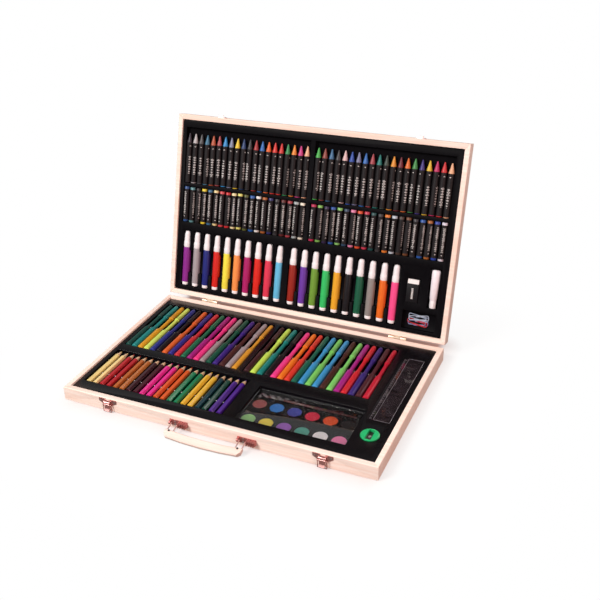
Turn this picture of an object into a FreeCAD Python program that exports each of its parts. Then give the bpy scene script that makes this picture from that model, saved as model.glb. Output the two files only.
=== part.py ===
import FreeCAD, Part
import math
import os

import Sketcher
from FreeCAD import Placement, Rotation, Vector

# A hinged wooden carrying case for drawing and painting things, standing open.
# Frame: origin at the middle of the base's underside, +X right, +Y back, +Z up.
# Lengths are millimetres and angles degrees.

SIZES = {
    # Wooden case
    "wood": 7.0,
    "panel": 3.0,
    "rebate": 3.5,
    "edge_chamfer": 0.8,
    "lid_open_angle": 106.0,
    "closing_gap": 0.3,
    # Clearances
    "fit_gap": 0.3,
    "pin_gap": 0.05,
    "rest_gap": 0.15,
    "overrun": 2.0,
    # Moulded trays
    "tray_sink": 2.5,
    "tray_wall": 0.8,
    "tray_corner": 2.5,
    "content_drop": 1.0,
    "base_floor_room": 6.4,
    "lid_floor_room": 1.6,
    "front_margin": 20.2,
    "back_margin": 15.2,
    "middle_rib": 15.0,
    "edge_margin": 6.0,
    "pocket_gap": 0.5,
    # Fibre pens
    "pen_count": 18,
    "pen_pitch": 9.93,
    "pen_length": 122.0,
    "pen_barrel_diameter": 8.8,
    "pen_barrel_length": 50.0,
    "pen_shoulder": 6.0,
    "pen_waist_diameter": 6.4,
    "pen_cap_diameter": 7.8,
    "pen_cap_length": 36.0,
    "pen_margin": 6.2,
    "pen_rib": 7.8,
    "pen_end_gap": 1.25,
    "pen_front_ridge": 54.0,
    "pen_back_ridge": 36.0,
    # Pencils
    "pencil_count": 20,
    "pencil_pitch": 10.26,
    "pencil_length": 80.5,
    "pencil_diameter": 7.4,
    "pencil_cone": 12.0,
    "pencil_lead_diameter": 2.6,
    "pencil_lead_show": 3.6,
    "pencil_tip_diameter": 0.5,
    "pencil_side_gap": 1.3,
    "pencil_end_gap": 1.0,
    "pencil_front_ridge": 25.0,
    "pencil_back_ridge": 24.0,
    # Paint palette
    "palette_rib": 17.2,
    "palette_length": 145.0,
    "palette_width": 73.5,
    "palette_height": 6.6,
    "palette_wall": 1.4,
    "pan_columns": 6,
    "pan_diameter": 19.0,
    "pan_row_pitch": 33.4,
    "pan_front": 11.9,
    "pan_depth": 3.4,
    "pan_sink": 0.4,
    "groove_width": 9.0,
    "groove_back": 4.0,
    "cover_height": 3.2,
    "cover_wall": 1.0,
    # Brush in the palette's groove
    "brush_end_gap": 8.5,
    "brush_diameter": 4.4,
    "brush_tail_diameter": 2.4,
    "brush_ferrule_length": 17.0,
    "brush_hair_length": 12.0,
    "brush_tip_diameter": 1.0,
    # Sharpener
    "sharpener_rib": 8.45,
    "sharpener_front_margin": 36.15,
    "sharpener_diameter": 23.5,
    "sharpener_height": 12.5,
    "sharpener_slot": 8.0,
    "sharpener_slot_depth": 4.6,
    "sharpener_bore": 8.2,
    "sharpener_bore_end": 2.4,
    "sharpener_bore_drop": 6.6,
    "blade_length": 19.0,
    "blade_thickness": 0.7,
    "blade_screw_diameter": 3.4,
    "blade_screw_head": 1.0,
    # Ruler
    "ruler_rib": 12.9,
    "ruler_margin": 7.92,
    "ruler_gap": 18.05,
    "ruler_width": 27.1,
    "ruler_length": 147.5,
    "ruler_thickness": 2.2,
    "ruler_edge": 0.9,
    "ruler_bevel": 6.0,
    "ruler_drop": 3.1,
    # Crayons and pastels
    "stick_count": 20,
    "stick_pitch": 9.95,
    "stick_rib": 6.95,
    "crayon_length": 73.0,
    "crayon_diameter": 7.9,
    "crayon_cone": 13.0,
    "crayon_tip_diameter": 1.6,
    "crayon_butt_gap": 0.7,
    "crayon_headroom": 8.8,
    "pastel_length": 53.0,
    "pastel_diameter": 7.9,
    "pastel_rib": 10.3,
    "stick_ledge": 5.0,
    "far_margin": 10.7,
    # Markers
    "marker_count": 10,
    "marker_pitch": 17.18,
    "marker_margin": 9.7,
    "marker_near_margin": 6.9,
    "marker_rib": 9.5,
    "marker_side_gap": 0.6,
    "marker_end_gap": 0.8,
    "marker_length": 84.0,
    "marker_diameter": 11.4,
    "marker_plug": 5.0,
    "marker_plug_diameter": 10.6,
    "marker_cap_length": 25.0,
    "marker_crown": 4.0,
    "marker_crown_diameter": 8.6,
    "marker_trough_start": 21.8,
    "marker_trough": 34.0,
    "marker_trough_depth": 6.0,
    # Eraser, glue tube and paper clips
    "eraser_rib": 11.2,
    "eraser_start": 12.0,
    "eraser_width": 16.4,
    "eraser_length": 32.0,
    "eraser_thickness": 8.6,
    "eraser_bare": 6.0,
    "eraser_sleeve": 0.4,
    "tube_rib": 12.8,
    "tube_start": 7.7,
    "tube_length": 55.0,
    "tube_diameter": 11.6,
    "tube_crimp_width": 14.0,
    "tube_crimp_thickness": 1.4,
    "tube_cap_length": 11.0,
    "tube_cap_diameter": 9.0,
    "clip_near_margin": 5.2,
    "clip_recess_length": 26.0,
    "clip_recess_width": 47.0,
    "clip_recess_depth": 7.0,
    "clip_count": 4,
    "clip_length": 29.0,
    "clip_width": 5.0,
    "clip_wire": 1.0,
    "clip_pitch": 6.2,
    # Hinges
    "hinge_end_margin": 69.0,
    "hinge_shift": 2.0,
    "hinge_length": 26.0,
    "hinge_knuckle_radius": 2.2,
    "hinge_pin_radius": 0.9,
    "hinge_leaf": 1.0,
    "hinge_leaf_height": 9.5,
    "hinge_screw_spacing": 16.0,
    "hinge_screw_drop": 6.0,
    "screw_head_radius": 1.6,
    "screw_head": 0.5,
    "screw_shank_radius": 0.7,
    "screw_length": 5.0,
    # Front latches
    "latch_end_margin": 68.5,
    "latch_shift": 1.0,
    "latch_plate_width": 26.0,
    "latch_plate_height": 9.0,
    "latch_plate_drop": 1.4,
    "latch_window": 7.0,
    "latch_window_height": 2.4,
    "latch_sheet": 0.8,
    "latch_nail_spacing": 21.0,
    "latch_nail_drop": 4.4,
    "latch_pin_drop": 5.0,
    "latch_pin_out": 3.0,
    "latch_pin_radius": 0.75,
    "latch_lug_radius": 1.8,
    "latch_lug_sheet": 0.8,
    "latch_knuckle_radius": 1.5,
    "lever_width": 7.6,
    "lever_length": 12.0,
    "lever_curl": 1.8,
    "lever_curl_length": 2.6,
    "loop_drop": 3.4,
    "loop_knuckle_radius": 1.3,
    "loop_wire_radius": 0.6,
    "loop_span": 11.7,
    "strike_width": 13.0,
    "strike_height": 8.0,
    "strike_hook_width": 8.0,
    "strike_hook_out": 3.6,
    "strike_hook_lip": 2.4,
    "strike_rim_gap": 0.35,
    "strike_nail_spacing": 9.0,
    "strike_nail_drop": 6.0,
    # Carrying handle
    "handle_shift": -0.5,
    "handle_bail_spacing": 94.5,
    "handle_bail_span": 8.6,
    "handle_wire_radius": 0.85,
    "handle_pivot_drop": 10.4,
    "handle_pivot_out": 2.9,
    "handle_arm": 11.0,
    "handle_length": 106.0,
    "handle_bar_width": 11.0,
    "handle_bar_thickness": 6.0,
    "handle_bow": 3.0,
    "handle_corner": 4.0,
    "handle_chamfer": 1.4,
    "handle_wire_seat": 5.0,
    "bar_screw_radius": 1.4,
    "bar_screw_head": 0.5,
    "bracket_height": 8.0,
    "bracket_sheet": 0.9,
    "bracket_ring_width": 2.4,
    "bracket_knuckle_radius": 2.3,
    "bracket_clip_length": 12.0,
    "bracket_side_gap": 0.4,
    "bracket_stub": 3.6,
    "bracket_rib_count": 4,
    "bracket_rib_height": 1.0,
    "bracket_nail_radius": 1.3,
}

# Places worked out from the sizes: x from the case's left side, y from its front
# in the base and from the hinge edge in the lid, heights down from the rim.
LAYOUT = {
    "tray_edge": "sizes.wood + sizes.fit_gap",
    "tray_left": "tray_edge + sizes.pen_margin",
    # Base, from left to right
    "pen_pocket": "sizes.pen_count * sizes.pen_pitch",
    "pen_right": "tray_left + pen_pocket + sizes.pen_rib",
    "ruler_left": "pen_right + pen_pocket + sizes.ruler_rib",
    "ruler_pocket": "sizes.ruler_width + 2 * sizes.pocket_gap",
    "pencil_pocket": "sizes.pencil_count * sizes.pencil_pitch + 2 * sizes.pencil_side_gap",
    "palette_left": "tray_left + pencil_pocket + sizes.palette_rib",
    "palette_pocket": "sizes.palette_length + 2 * sizes.pocket_gap",
    "pan_pitch": "sizes.palette_length / sizes.pan_columns",
    "brush_length": "sizes.palette_length - 2 * sizes.brush_end_gap",
    "sharpener_left": "palette_left + palette_pocket + sizes.sharpener_rib",
    "sharpener_pocket": "sizes.sharpener_diameter + 2 * sizes.pocket_gap",
    # Lid, from left to right
    "stick_pocket": "sizes.stick_count * sizes.stick_pitch",
    "stick_right": "tray_left + stick_pocket + sizes.stick_rib",
    "marker_slot": "sizes.marker_diameter + 2 * sizes.marker_side_gap",
    "marker_group": "(sizes.marker_count - 1) * sizes.marker_pitch + marker_slot",
    "marker_left": "tray_edge + sizes.marker_margin",
    "marker_right": "marker_left + marker_group + sizes.marker_rib",
    "eraser_left": "marker_right + marker_group + sizes.eraser_rib",
    "eraser_pocket": "sizes.eraser_width + 2 * sizes.pocket_gap",
    "tube_left": "eraser_left + eraser_pocket + sizes.tube_rib",
    "tube_pocket": "sizes.tube_crimp_width + 2 * sizes.pocket_gap",
    # The longest row sets the case's length
    "pen_row": "ruler_left + ruler_pocket + sizes.ruler_margin + tray_edge",
    "pencil_row": "sharpener_left + sharpener_pocket + sizes.edge_margin + tray_edge",
    "stick_row": "stick_right + stick_pocket + sizes.edge_margin + tray_edge",
    "marker_row": "tube_left + tube_pocket + sizes.edge_margin + tray_edge",
    "case_length": "max(pen_row; pencil_row; stick_row; marker_row)",
    # Base, from front to back
    "pencil_front": "tray_edge + sizes.front_margin",
    "pencil_depth": "sizes.pencil_length + 2 * sizes.pencil_end_gap",
    "palette_depth": "sizes.palette_width + 2 * sizes.pocket_gap",
    "pen_front": "pencil_front + max(pencil_depth; palette_depth) + sizes.middle_rib",
    "pen_depth": "sizes.pen_length + 2 * sizes.pen_end_gap",
    "sharpener_front": "tray_edge + sizes.sharpener_front_margin",
    "ruler_front": "sharpener_front + sharpener_pocket + sizes.ruler_gap",
    "ruler_depth": "sizes.ruler_length + 2 * sizes.pocket_gap",
    # Lid, from the hinge edge outwards
    "marker_near": "tray_edge + sizes.marker_near_margin",
    "marker_depth": "sizes.marker_length + 2 * sizes.marker_end_gap",
    "clip_near": "tray_edge + sizes.clip_near_margin",
    "clip_far": "clip_near + sizes.clip_recess_length",
    "eraser_near": "clip_far + sizes.eraser_start",
    "eraser_depth": "sizes.eraser_length + 2 * sizes.pocket_gap",
    "tube_near": "clip_far + sizes.tube_start",
    "tube_depth": "sizes.tube_length + 2 * sizes.pocket_gap",
    "near_end": "max(marker_near + marker_depth; tube_near + tube_depth; eraser_near + eraser_depth)",
    "pastel_near": "near_end + sizes.pastel_rib",
    "pastel_depth": "sizes.pastel_length + 2 * sizes.pocket_gap",
    "crayon_near": "pastel_near + pastel_depth + sizes.stick_ledge",
    "crayon_depth": "sizes.crayon_butt_gap + sizes.crayon_length + sizes.crayon_headroom",
    # The deepest column sets the case's depth
    "base_column": "pen_front + pen_depth + sizes.back_margin + tray_edge",
    "ruler_column": "ruler_front + ruler_depth + sizes.edge_margin + tray_edge",
    "lid_column": "crayon_near + crayon_depth + sizes.far_margin + tray_edge",
    "case_depth": "max(base_column; ruler_column; lid_column)",
    # Heights
    "tray_base": "sizes.tray_wall + sizes.panel",
    "base_thing": "max(sizes.pen_barrel_diameter; sizes.pencil_diameter)",
    "base_height": "sizes.content_drop + base_thing + sizes.base_floor_room + tray_base",
    "lid_thing": "max(sizes.marker_diameter; sizes.tube_diameter; sizes.eraser_thickness)",
    "lid_height": "sizes.content_drop + lid_thing + sizes.lid_floor_room + tray_base",
    # Fittings along the case
    "hinge_spacing": "case_length - 2 * sizes.hinge_end_margin",
    "latch_spacing": "case_length - 2 * sizes.latch_end_margin",
    # Hinge line, behind the base's back face
    "hinge_out": "sizes.hinge_knuckle_radius + sizes.fit_gap",
}

# A paper clip's wire as shares of its length and width, from the outer end to the inner one
CLIP_SHARES = ((0.28, 0), (0.94, 0), (1, 0.5), (0.94, 1), (0.06, 1), (0, 0.6),
               (0.06, 0.22), (0.74, 0.22), (0.8, 0.5), (0.74, 0.78), (0.34, 0.78))

# Places along half of the handle's bow where its straight runs meet
BOW_SHARES = (-0.5, 0, 0.5)

# Round things are prisms of few sides, but for those that something turns about
STICK_SIDES = 5
PENCIL_SIDES = 6
PAN_SIDES = 8
WIRE_SIDES = 6
NAIL_SIDES = 5
BORE_SIDES = 8
KNUCKLE_SIDES = 8
DISC_SIDES = 16

doc = FreeCAD.newDocument("art_case")
sizes = doc.addObject("Spreadsheet::Sheet", "sizes")
for line, (alias, value) in enumerate(SIZES.items(), start=1):
    sizes.set("A%d" % line, alias)
    sizes.set("B%d" % line, str(value))
    sizes.setAlias("B%d" % line, alias)
layout = doc.addObject("Spreadsheet::Sheet", "layout")
for line, (alias, formula) in enumerate(LAYOUT.items(), start=1):
    layout.set("A%d" % line, alias)
    layout.setAlias("B%d" % line, alias)
    layout.set("B%d" % line, "=" + formula)
doc.recompute()

pieces = []


def get(alias):
    """A driving size or a worked out place, by its name."""
    source = sizes if alias in SIZES else layout
    return float(source.get(alias))


def count(alias):
    return int(round(get(alias)))


# Frames that the pieces are built in

def base_place(x=0.0, y=0.0, z=0.0):
    """A place in the base: x from the left side, y from the front, z up from the rim."""
    corner = Vector(-get("case_length") / 2, -get("case_depth") / 2, get("base_height"))
    return Placement(corner + Vector(x, y, z), Rotation())


def hinge_line():
    gap = get("closing_gap") / 2
    return Vector(0, get("case_depth") / 2 + get("hinge_out"), get("base_height") + gap)


def lid_place(x=0.0, y=0.0, z=0.0):
    """A place in the lid: x from the left side, y from the hinge edge, z up from the rim."""
    lean = Rotation(Vector(1, 0, 0), 180 - get("lid_open_angle"))
    corner = Vector(-get("case_length") / 2, get("hinge_out"), -get("closing_gap") / 2)
    return Placement(hinge_line() + lean.multVec(corner + Vector(x, y, z)), lean)


# Shape helpers

def keep(label, shape, placement):
    """Add a finished sub-part whose shape is worked out here."""
    feature = doc.addObject("Part::Feature", label)
    feature.Shape = shape
    feature.Label = label
    feature.Placement = placement.multiply(shape.Placement)
    pieces.append(feature)
    return feature


def box(x0, x1, y0, y1, z0, z1):
    return Part.makeBox(x1 - x0, y1 - y0, z1 - z0, Vector(x0, y0, z0))


def prism(sides, corner, start, direction, length):
    """A prism along a direction, its corners at a distance from its axis."""
    across = Vector(direction.y, direction.z, direction.x)
    points = []
    for index in range(sides):
        turn = Rotation(direction, 360 * (index + 0.5) / sides)
        points.append(start + turn.multVec(across) * corner)
    return Part.Face(Part.makePolygon(points + points[:1])).extrude(direction * length)


def rod(radius, start, direction, length, sides=KNUCKLE_SIDES):
    """A round rod, its corners on the circle, so that it turns in a bore."""
    return prism(sides, radius, start, direction, length)


def pin(radius, start, direction, length):
    """A truly round rod, on the line that something turns about."""
    return Part.makeCylinder(radius, length, start, direction)


def bore(radius, start, direction, length, sides=BORE_SIDES):
    """Room for a rod of the radius, its flats a running gap outside the circle."""
    return prism(sides, (radius + get("pin_gap")) / math.cos(math.pi / sides), start, direction, length)


def moved(shape, x=0.0, y=0.0, z=0.0):
    copy = shape.copy()
    copy.translate(Vector(x, y, z))
    return copy


def true_area(sides, diameter):
    """Corner radius of the polygon that has the circle's area."""
    return diameter / 2 * math.sqrt(2 * math.pi / sides / math.sin(2 * math.pi / sides))


def flat_height(sides, diameter):
    """Height of a lying stick's axis above its lowest flat."""
    return true_area(sides, diameter) * math.cos(math.pi / sides)


def ring(sides, diameter, y=0.0):
    """Corners of a polygon across the Y axis, with a flat at its foot."""
    radius = true_area(sides, diameter)
    step = 2 * math.pi / sides
    turns = [step * (index + 0.5) for index in range(sides)]
    return [Vector(radius * math.sin(turn), y, -radius * math.cos(turn)) for turn in turns]


def flat_face(points):
    return Part.Face(Part.makePolygon(points + points[:1]))


def skinned(rings):
    """A solid of flat faces through rings with the same number of corners."""
    faces = [flat_face(rings[0]), flat_face(rings[-1])]
    for here, there in zip(rings, rings[1:]):
        for index in range(len(here)):
            other = (index + 1) % len(here)
            faces.append(flat_face([here[index], here[other], there[other], there[index]]))
    return Part.makeSolid(Part.makeShell(faces))


def stick(sides, stations):
    """A lying stick along Y from (place, diameter) stations."""
    return skinned([ring(sides, diameter, y) for y, diameter in stations])


def side_by_side(shape, starts, pitch, number, y, z):
    """Copies of a stick in each pocket that starts at the places given."""
    return Part.makeCompound([
        moved(shape, start + pitch * (index + 0.5), y, z)
        for start in starts for index in range(number)])


def inside_round(sides, radius):
    """Diameter of the stick whose corners lie on a circle, so that it turns in a round bore."""
    return 2 * radius * radius / true_area(sides, 2 * radius)


def bent_wire(points, radius):
    """A wire of few sides along straight runs with mitred bends."""
    path = Part.makePolygon(points)
    along = (points[1] - points[0]).normalize()
    corners = ring(WIRE_SIDES, inside_round(WIRE_SIDES, radius))
    profile = Part.makePolygon(corners + corners[:1])
    profile.Placement = Placement(points[0], Rotation(Vector(0, 1, 0), along))
    return path.makePipeShell([profile], True, False, 1)


def nail(sides, head_radius, head, shank_radius, length):
    """A nail or screw that points along +Y from its head's inner face."""
    cap = stick(sides, [(-head, 2 * head_radius), (0, 2 * head_radius)])
    thickness = inside_round(sides, shank_radius)
    shank = stick(sides, [(0, thickness), (length, thickness)])
    return cap.fuse(shank)


# Bodies made of sketches

def plane_of(body, role):
    return next(item for item in body.Origin.OriginFeatures if item.Role == role)


def draw(body, role, label, corners):
    """A closed polygon on one of the body's planes, each corner bound to two expressions."""
    sketch = body.newObject("Sketcher::SketchObject", label)
    sketch.AttachmentSupport = [(plane_of(body, role), "")]
    sketch.MapMode = "FlatFace"
    bound_polygon(sketch, corners)
    return sketch


def bound_polygon(sketch, corners):
    first = sketch.GeometryCount
    points = [Vector(value_of(across), value_of(along), 0) for across, along in corners]
    for index, point in enumerate(points):
        sketch.addGeometry(Part.LineSegment(point, points[(index + 1) % len(points)]), False)
    for index in range(len(points)):
        following = first + (index + 1) % len(points)
        sketch.addConstraint(Sketcher.Constraint("Coincident", first + index, 2, following, 1))
    for index, (point, texts) in enumerate(zip(points, corners), start=first):
        for kind, value, text in zip(("DistanceX", "DistanceY"), (point.x, point.y), texts):
            number = sketch.addConstraint(Sketcher.Constraint(kind, -1, 1, index, 1, value))
            name = "%s_%d" % (kind[-1].lower(), index)
            sketch.renameConstraint(number, name)
            sketch.setExpression("Constraints." + name, text)


def value_of(text):
    """The number that an expression gives now."""
    result = layout.evalExpression(text)
    return float(result.Value if hasattr(result, "Value") else result)


def pad(body, sketch, label, length, midplane=False):
    feature = body.newObject("PartDesign::Pad", label)
    feature.Profile = sketch
    feature.Midplane = midplane
    feature.setExpression("Length", length)
    return feature


def pocket(body, sketch, label, length):
    """A pocket to both sides of its sketch, which must take something away."""
    doc.recompute()
    before = body.Shape.Volume
    feature = body.newObject("PartDesign::Pocket", label)
    feature.Profile = sketch
    feature.Midplane = True
    feature.setExpression("Length", length)
    doc.recompute()
    if body.Shape.Volume >= before:
        raise RuntimeError("pocket cuts nothing: " + label)
    return feature


def new_body(label):
    body = doc.addObject("PartDesign::Body", label)
    body.Label = label
    pieces.append(body)
    return body


def stand(body, placement):
    body.Placement = placement
    return body


# Wooden case

def rail(label, length, height, holes, placement):
    """A mitred rail with a rebate for the panel, lying along X with its outer face in front.

    Its rim is at z = 0. Holes are (x, depth below the rim) places on the outer face.
    """
    body = new_body(label)
    half = "%s / 2" % length
    inner = "%s / 2 - sizes.wood" % length
    plan = [("-(%s)" % half, "0"), (half, "0"), (inner, "sizes.wood"), ("-(%s)" % inner, "sizes.wood")]
    outline = draw(body, "XY_Plane", label + "_plan", plan)
    pad(body, outline, label + "_block", height).Reversed = True
    inside = "sizes.wood - sizes.rebate"
    below = "-%s - sizes.overrun" % height
    step = "-%s + sizes.panel" % height
    behind = "sizes.wood + sizes.overrun"
    section = [(inside, below), (behind, below), (behind, step), (inside, step)]
    groove = draw(body, "YZ_Plane", label + "_rebate", section)
    pocket(body, groove, label + "_rebate_cut", "%s + sizes.overrun" % length)
    if holes:
        drill(body, label, holes)
    doc.recompute()
    blunt_outer_edges(body, label)
    return stand(body, placement)


def drill(body, label, holes):
    """Blind holes for nails or screws in a rail's outer face."""
    sketch = body.newObject("Sketcher::SketchObject", label + "_holes")
    sketch.AttachmentSupport = [(plane_of(body, "XZ_Plane"), "")]
    sketch.MapMode = "FlatFace"
    corner = "(sizes.screw_shank_radius + sizes.pin_gap) / cos(180 / %d)" % NAIL_SIDES
    for across, drop in holes:
        corners = []
        for index in range(NAIL_SIDES):
            turn = "%g" % (360 * (index + 0.5) / NAIL_SIDES)
            corners.append(("%s + %s * sin(%s)" % (across, corner, turn),
                            "-(%s) - %s * cos(%s)" % (drop, corner, turn)))
        bound_polygon(sketch, corners)
    pocket(body, sketch, label + "_drilled", "2 * sizes.screw_length")


def blunt_outer_edges(body, label):
    """Chamfer the two long outer edges of a rail."""
    base = body.Tip
    names = []
    for index, edge in enumerate(base.Shape.Edges, start=1):
        centre = edge.CenterOfMass
        if abs(centre.y) < Part.Precision.confusion() and edge.Length > get("case_depth") / 2:
            names.append("Edge%d" % index)
    feature = body.newObject("PartDesign::Chamfer", label + "_edges")
    feature.Base = (base, names)
    feature.setExpression("Size", "sizes.edge_chamfer")
    doc.recompute()


def turned(place, x, y, angle):
    """A place in the base or lid, turned about its upright axis."""
    return place(x, y).multiply(Placement(Vector(), Rotation(Vector(0, 0, 1), angle)))


def frame_of_rails(half, place, height, front_holes, back_holes):
    """Four rails with mitred corners; the front one is the hinge side of the lid."""
    length = get("case_length")
    depth = get("case_depth")
    front = "front" if half == "base" else "hinge"
    back = "back" if half == "base" else "far"
    rail("%s_%s_rail" % (half, front), "layout.case_length", height, front_holes,
         turned(place, length / 2, 0, 0))
    rail("%s_%s_rail" % (half, back), "layout.case_length", height, back_holes,
         turned(place, length / 2, depth, 180))
    rail(half + "_left_rail", "layout.case_depth", height, [], turned(place, 0, depth / 2, -90))
    rail(half + "_right_rail", "layout.case_depth", height, [], turned(place, length, depth / 2, 90))


def case_panel(label, height, place):
    """A thin panel let into the rails' rebates."""
    panel = doc.addObject("Part::Box", label)
    panel.Label = label
    panel.setExpression("Length", "layout.case_length - 2 * (sizes.wood - sizes.rebate)")
    panel.setExpression("Width", "layout.case_depth - 2 * (sizes.wood - sizes.rebate)")
    panel.setExpression("Height", "sizes.panel")
    inset = get("wood") - get("rebate")
    panel.Placement = place(inset, inset, -get(height))
    pieces.append(panel)


# Moulded trays

def blunt_block(inset, bottom, top, corner):
    """A block inside the rails with its upright corners cut off."""
    length = get("case_length")
    depth = get("case_depth")
    block = box(inset, length - inset, inset, depth - inset, bottom, top)
    upright = [edge for edge in block.Edges if abs(edge.tangentAt(0).z) > 0.5]
    return block.makeChamfer(corner, upright)


def well(x, width, y, depth, floor):
    """A pocket of the tray: its left and front edges, its size and its floor below the rim."""
    return (x, x + width, y, y + depth, -floor)


def ridges(starts, pitch, number, diameter, sides, y, length, floor):
    """Cradle ridges between neighbouring sticks, clear of their sides."""
    corner = true_area(sides, diameter)
    foot = pitch / 2 - corner * math.sin(math.pi / sides) - get("fit_gap")
    rise = flat_height(sides, diameter)
    wall = get("tray_wall")
    outline = [Vector(-foot, y, -floor - wall / 2), Vector(foot, y, -floor - wall / 2),
               Vector(0, y, rise - floor)]
    ridge = flat_face(outline).extrude(Vector(0, length, 0))
    return [moved(ridge, start + pitch * index) for start in starts for index in range(1, number)]


def moulded_tray(label, height, wells, round_wells, ridge_bands, place):
    """A thin tray: a top with a skirt down to the panel, a tub round every well, and ridges."""
    wall = get("tray_wall")
    overrun = get("overrun")
    edge = get("tray_edge")
    top = -get("tray_sink")
    bottom = get("panel") - get(height)
    skin = blunt_block(edge, bottom, top, get("tray_corner"))
    hollow = blunt_block(edge + wall, bottom - overrun, top - wall, get("tray_corner") - wall / 2)
    tubs = [box(x0 - wall, x1 + wall, y0 - wall, y1 + wall, floor - wall, top - wall / 2)
            for x0, x1, y0, y1, floor in wells]
    tubs += [rod(radius + wall, Vector(x, y, floor - wall), Vector(0, 0, 1), top - floor + wall / 2,
                 DISC_SIDES) for x, y, radius, floor in round_wells]
    rooms = [box(x0, x1, y0, y1, floor, top + overrun) for x0, x1, y0, y1, floor in wells]
    rooms += [rod(radius, Vector(x, y, floor), Vector(0, 0, 1), top - floor + overrun, DISC_SIDES)
              for x, y, radius, floor in round_wells]
    shell = skin.cut(hollow).multiFuse(tubs)
    shell = shell.cut(rooms[0].multiFuse(rooms[1:]))
    if ridge_bands:
        shell = shell.multiFuse(ridge_bands)
    return keep(label, shell.removeSplitter(), place())


# What lies in the base

def pen_row_places():
    return (get("tray_left"), get("pen_right"))


def stick_row_places():
    return (get("tray_left"), get("stick_right"))


def pen_floor():
    return get("content_drop") + get("pen_barrel_diameter")


def pencil_floor():
    return get("content_drop") + get("pencil_diameter")


def deep_floor(height):
    """The depth at which a tub's underside meets the panel."""
    return get(height) - get("panel") - get("tray_wall")


def base_tray():
    deep = deep_floor("base_height")
    wells = []
    bands = []
    ridge_one = get("pen_front_ridge")
    ridge_two = get("pen_back_ridge")
    front = get("pen_front")
    depth = get("pen_depth")
    for left in pen_row_places():
        wells.append(well(left, get("pen_pocket"), front, depth, pen_floor()))
        trough = depth - ridge_one - ridge_two
        wells.append(well(left, get("pen_pocket"), front + ridge_one, trough, deep))
    bands += ridges(pen_row_places(), get("pen_pitch"), count("pen_count"),
                    get("pen_barrel_diameter"), STICK_SIDES, front, ridge_one, pen_floor())
    ridge_one = get("pencil_front_ridge")
    ridge_two = get("pencil_back_ridge")
    left = get("tray_left")
    front = get("pencil_front")
    depth = get("pencil_depth")
    wells.append(well(left, get("pencil_pocket"), front, depth, pencil_floor()))
    wells.append(well(left, get("pencil_pocket"), front + ridge_one, depth - ridge_one - ridge_two, deep))
    bands += ridges((left + get("pencil_side_gap"),), get("pencil_pitch"), count("pencil_count"),
                    get("pencil_diameter"), PENCIL_SIDES, front, ridge_one, pencil_floor())
    wells.append(well(get("palette_left"), get("palette_pocket"), front, get("palette_depth"), deep))
    ruler_floor = get("ruler_drop") + get("ruler_thickness")
    wells.append(well(get("ruler_left"), get("ruler_pocket"), get("ruler_front"), get("ruler_depth"),
                      ruler_floor))
    x, y = sharpener_centre()
    sharpener_floor = get("content_drop") + get("sharpener_height")
    round_wells = [(x, y, get("sharpener_pocket") / 2, -sharpener_floor)]
    moulded_tray("base_tray", "base_height", wells, round_wells, bands, base_place)


def fibre_pens():
    barrel_end = get("pen_barrel_length")
    shoulder_end = barrel_end + get("pen_shoulder")
    waist_end = get("pen_length") - get("pen_cap_length")
    barrel = stick(STICK_SIDES, [
        (0, get("pen_barrel_diameter")), (barrel_end, get("pen_barrel_diameter")),
        (shoulder_end, get("pen_waist_diameter")), (waist_end, get("pen_waist_diameter"))])
    cap = stick(STICK_SIDES, [(waist_end, get("pen_cap_diameter")), (get("pen_length"), get("pen_cap_diameter"))])
    y = get("pen_front") + get("pen_end_gap")
    z = flat_height(STICK_SIDES, get("pen_barrel_diameter")) - pen_floor()
    for label, shape in (("fibre_pen_barrels", barrel), ("fibre_pen_caps", cap)):
        row = side_by_side(shape, pen_row_places(), get("pen_pitch"), count("pen_count"), y, z)
        keep(label, row, base_place())


def pencils():
    diameter = get("pencil_diameter")
    length = get("pencil_length")
    cone_start = length - get("pencil_cone")
    wood_end = length - get("pencil_lead_show")
    lead = get("pencil_lead_diameter")
    wood = stick(PENCIL_SIDES, [(0, diameter), (cone_start, diameter), (wood_end, lead)])
    point = stick(PENCIL_SIDES, [(wood_end, lead), (length, get("pencil_tip_diameter"))])
    y = get("pencil_front") + get("pencil_end_gap")
    z = flat_height(PENCIL_SIDES, diameter) - pencil_floor()
    starts = (get("tray_left") + get("pencil_side_gap"),)
    for label, shape in (("pencil_bodies", wood), ("pencil_leads", point)):
        row = side_by_side(shape, starts, get("pencil_pitch"), count("pencil_count"), y, z)
        keep(label, row, base_place())


def palette_corner():
    gap = get("pocket_gap")
    floor = deep_floor("base_height")
    return base_place(get("palette_left") + gap, get("pencil_front") + gap, -floor)


def pan_centres():
    spread = (count("pan_columns") - 1) * get("pan_pitch")
    first = (get("palette_length") - spread) / 2
    columns = [first + get("pan_pitch") * index for index in range(count("pan_columns"))]
    rows = (get("pan_front"), get("pan_front") + get("pan_row_pitch"))
    return [(x, y) for y in rows for x in columns]


def pan(diameter, bottom, top):
    disc = stick(PAN_SIDES, [(0, diameter), (top - bottom, diameter)])
    disc.rotate(Vector(0, 0, 0), Vector(1, 0, 0), 90)
    return moved(disc, 0, 0, bottom)


def groove_centre():
    """Middle of the brush groove, across the palette and above its underside."""
    return get("palette_width") - get("groove_back") - get("groove_width") / 2


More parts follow.
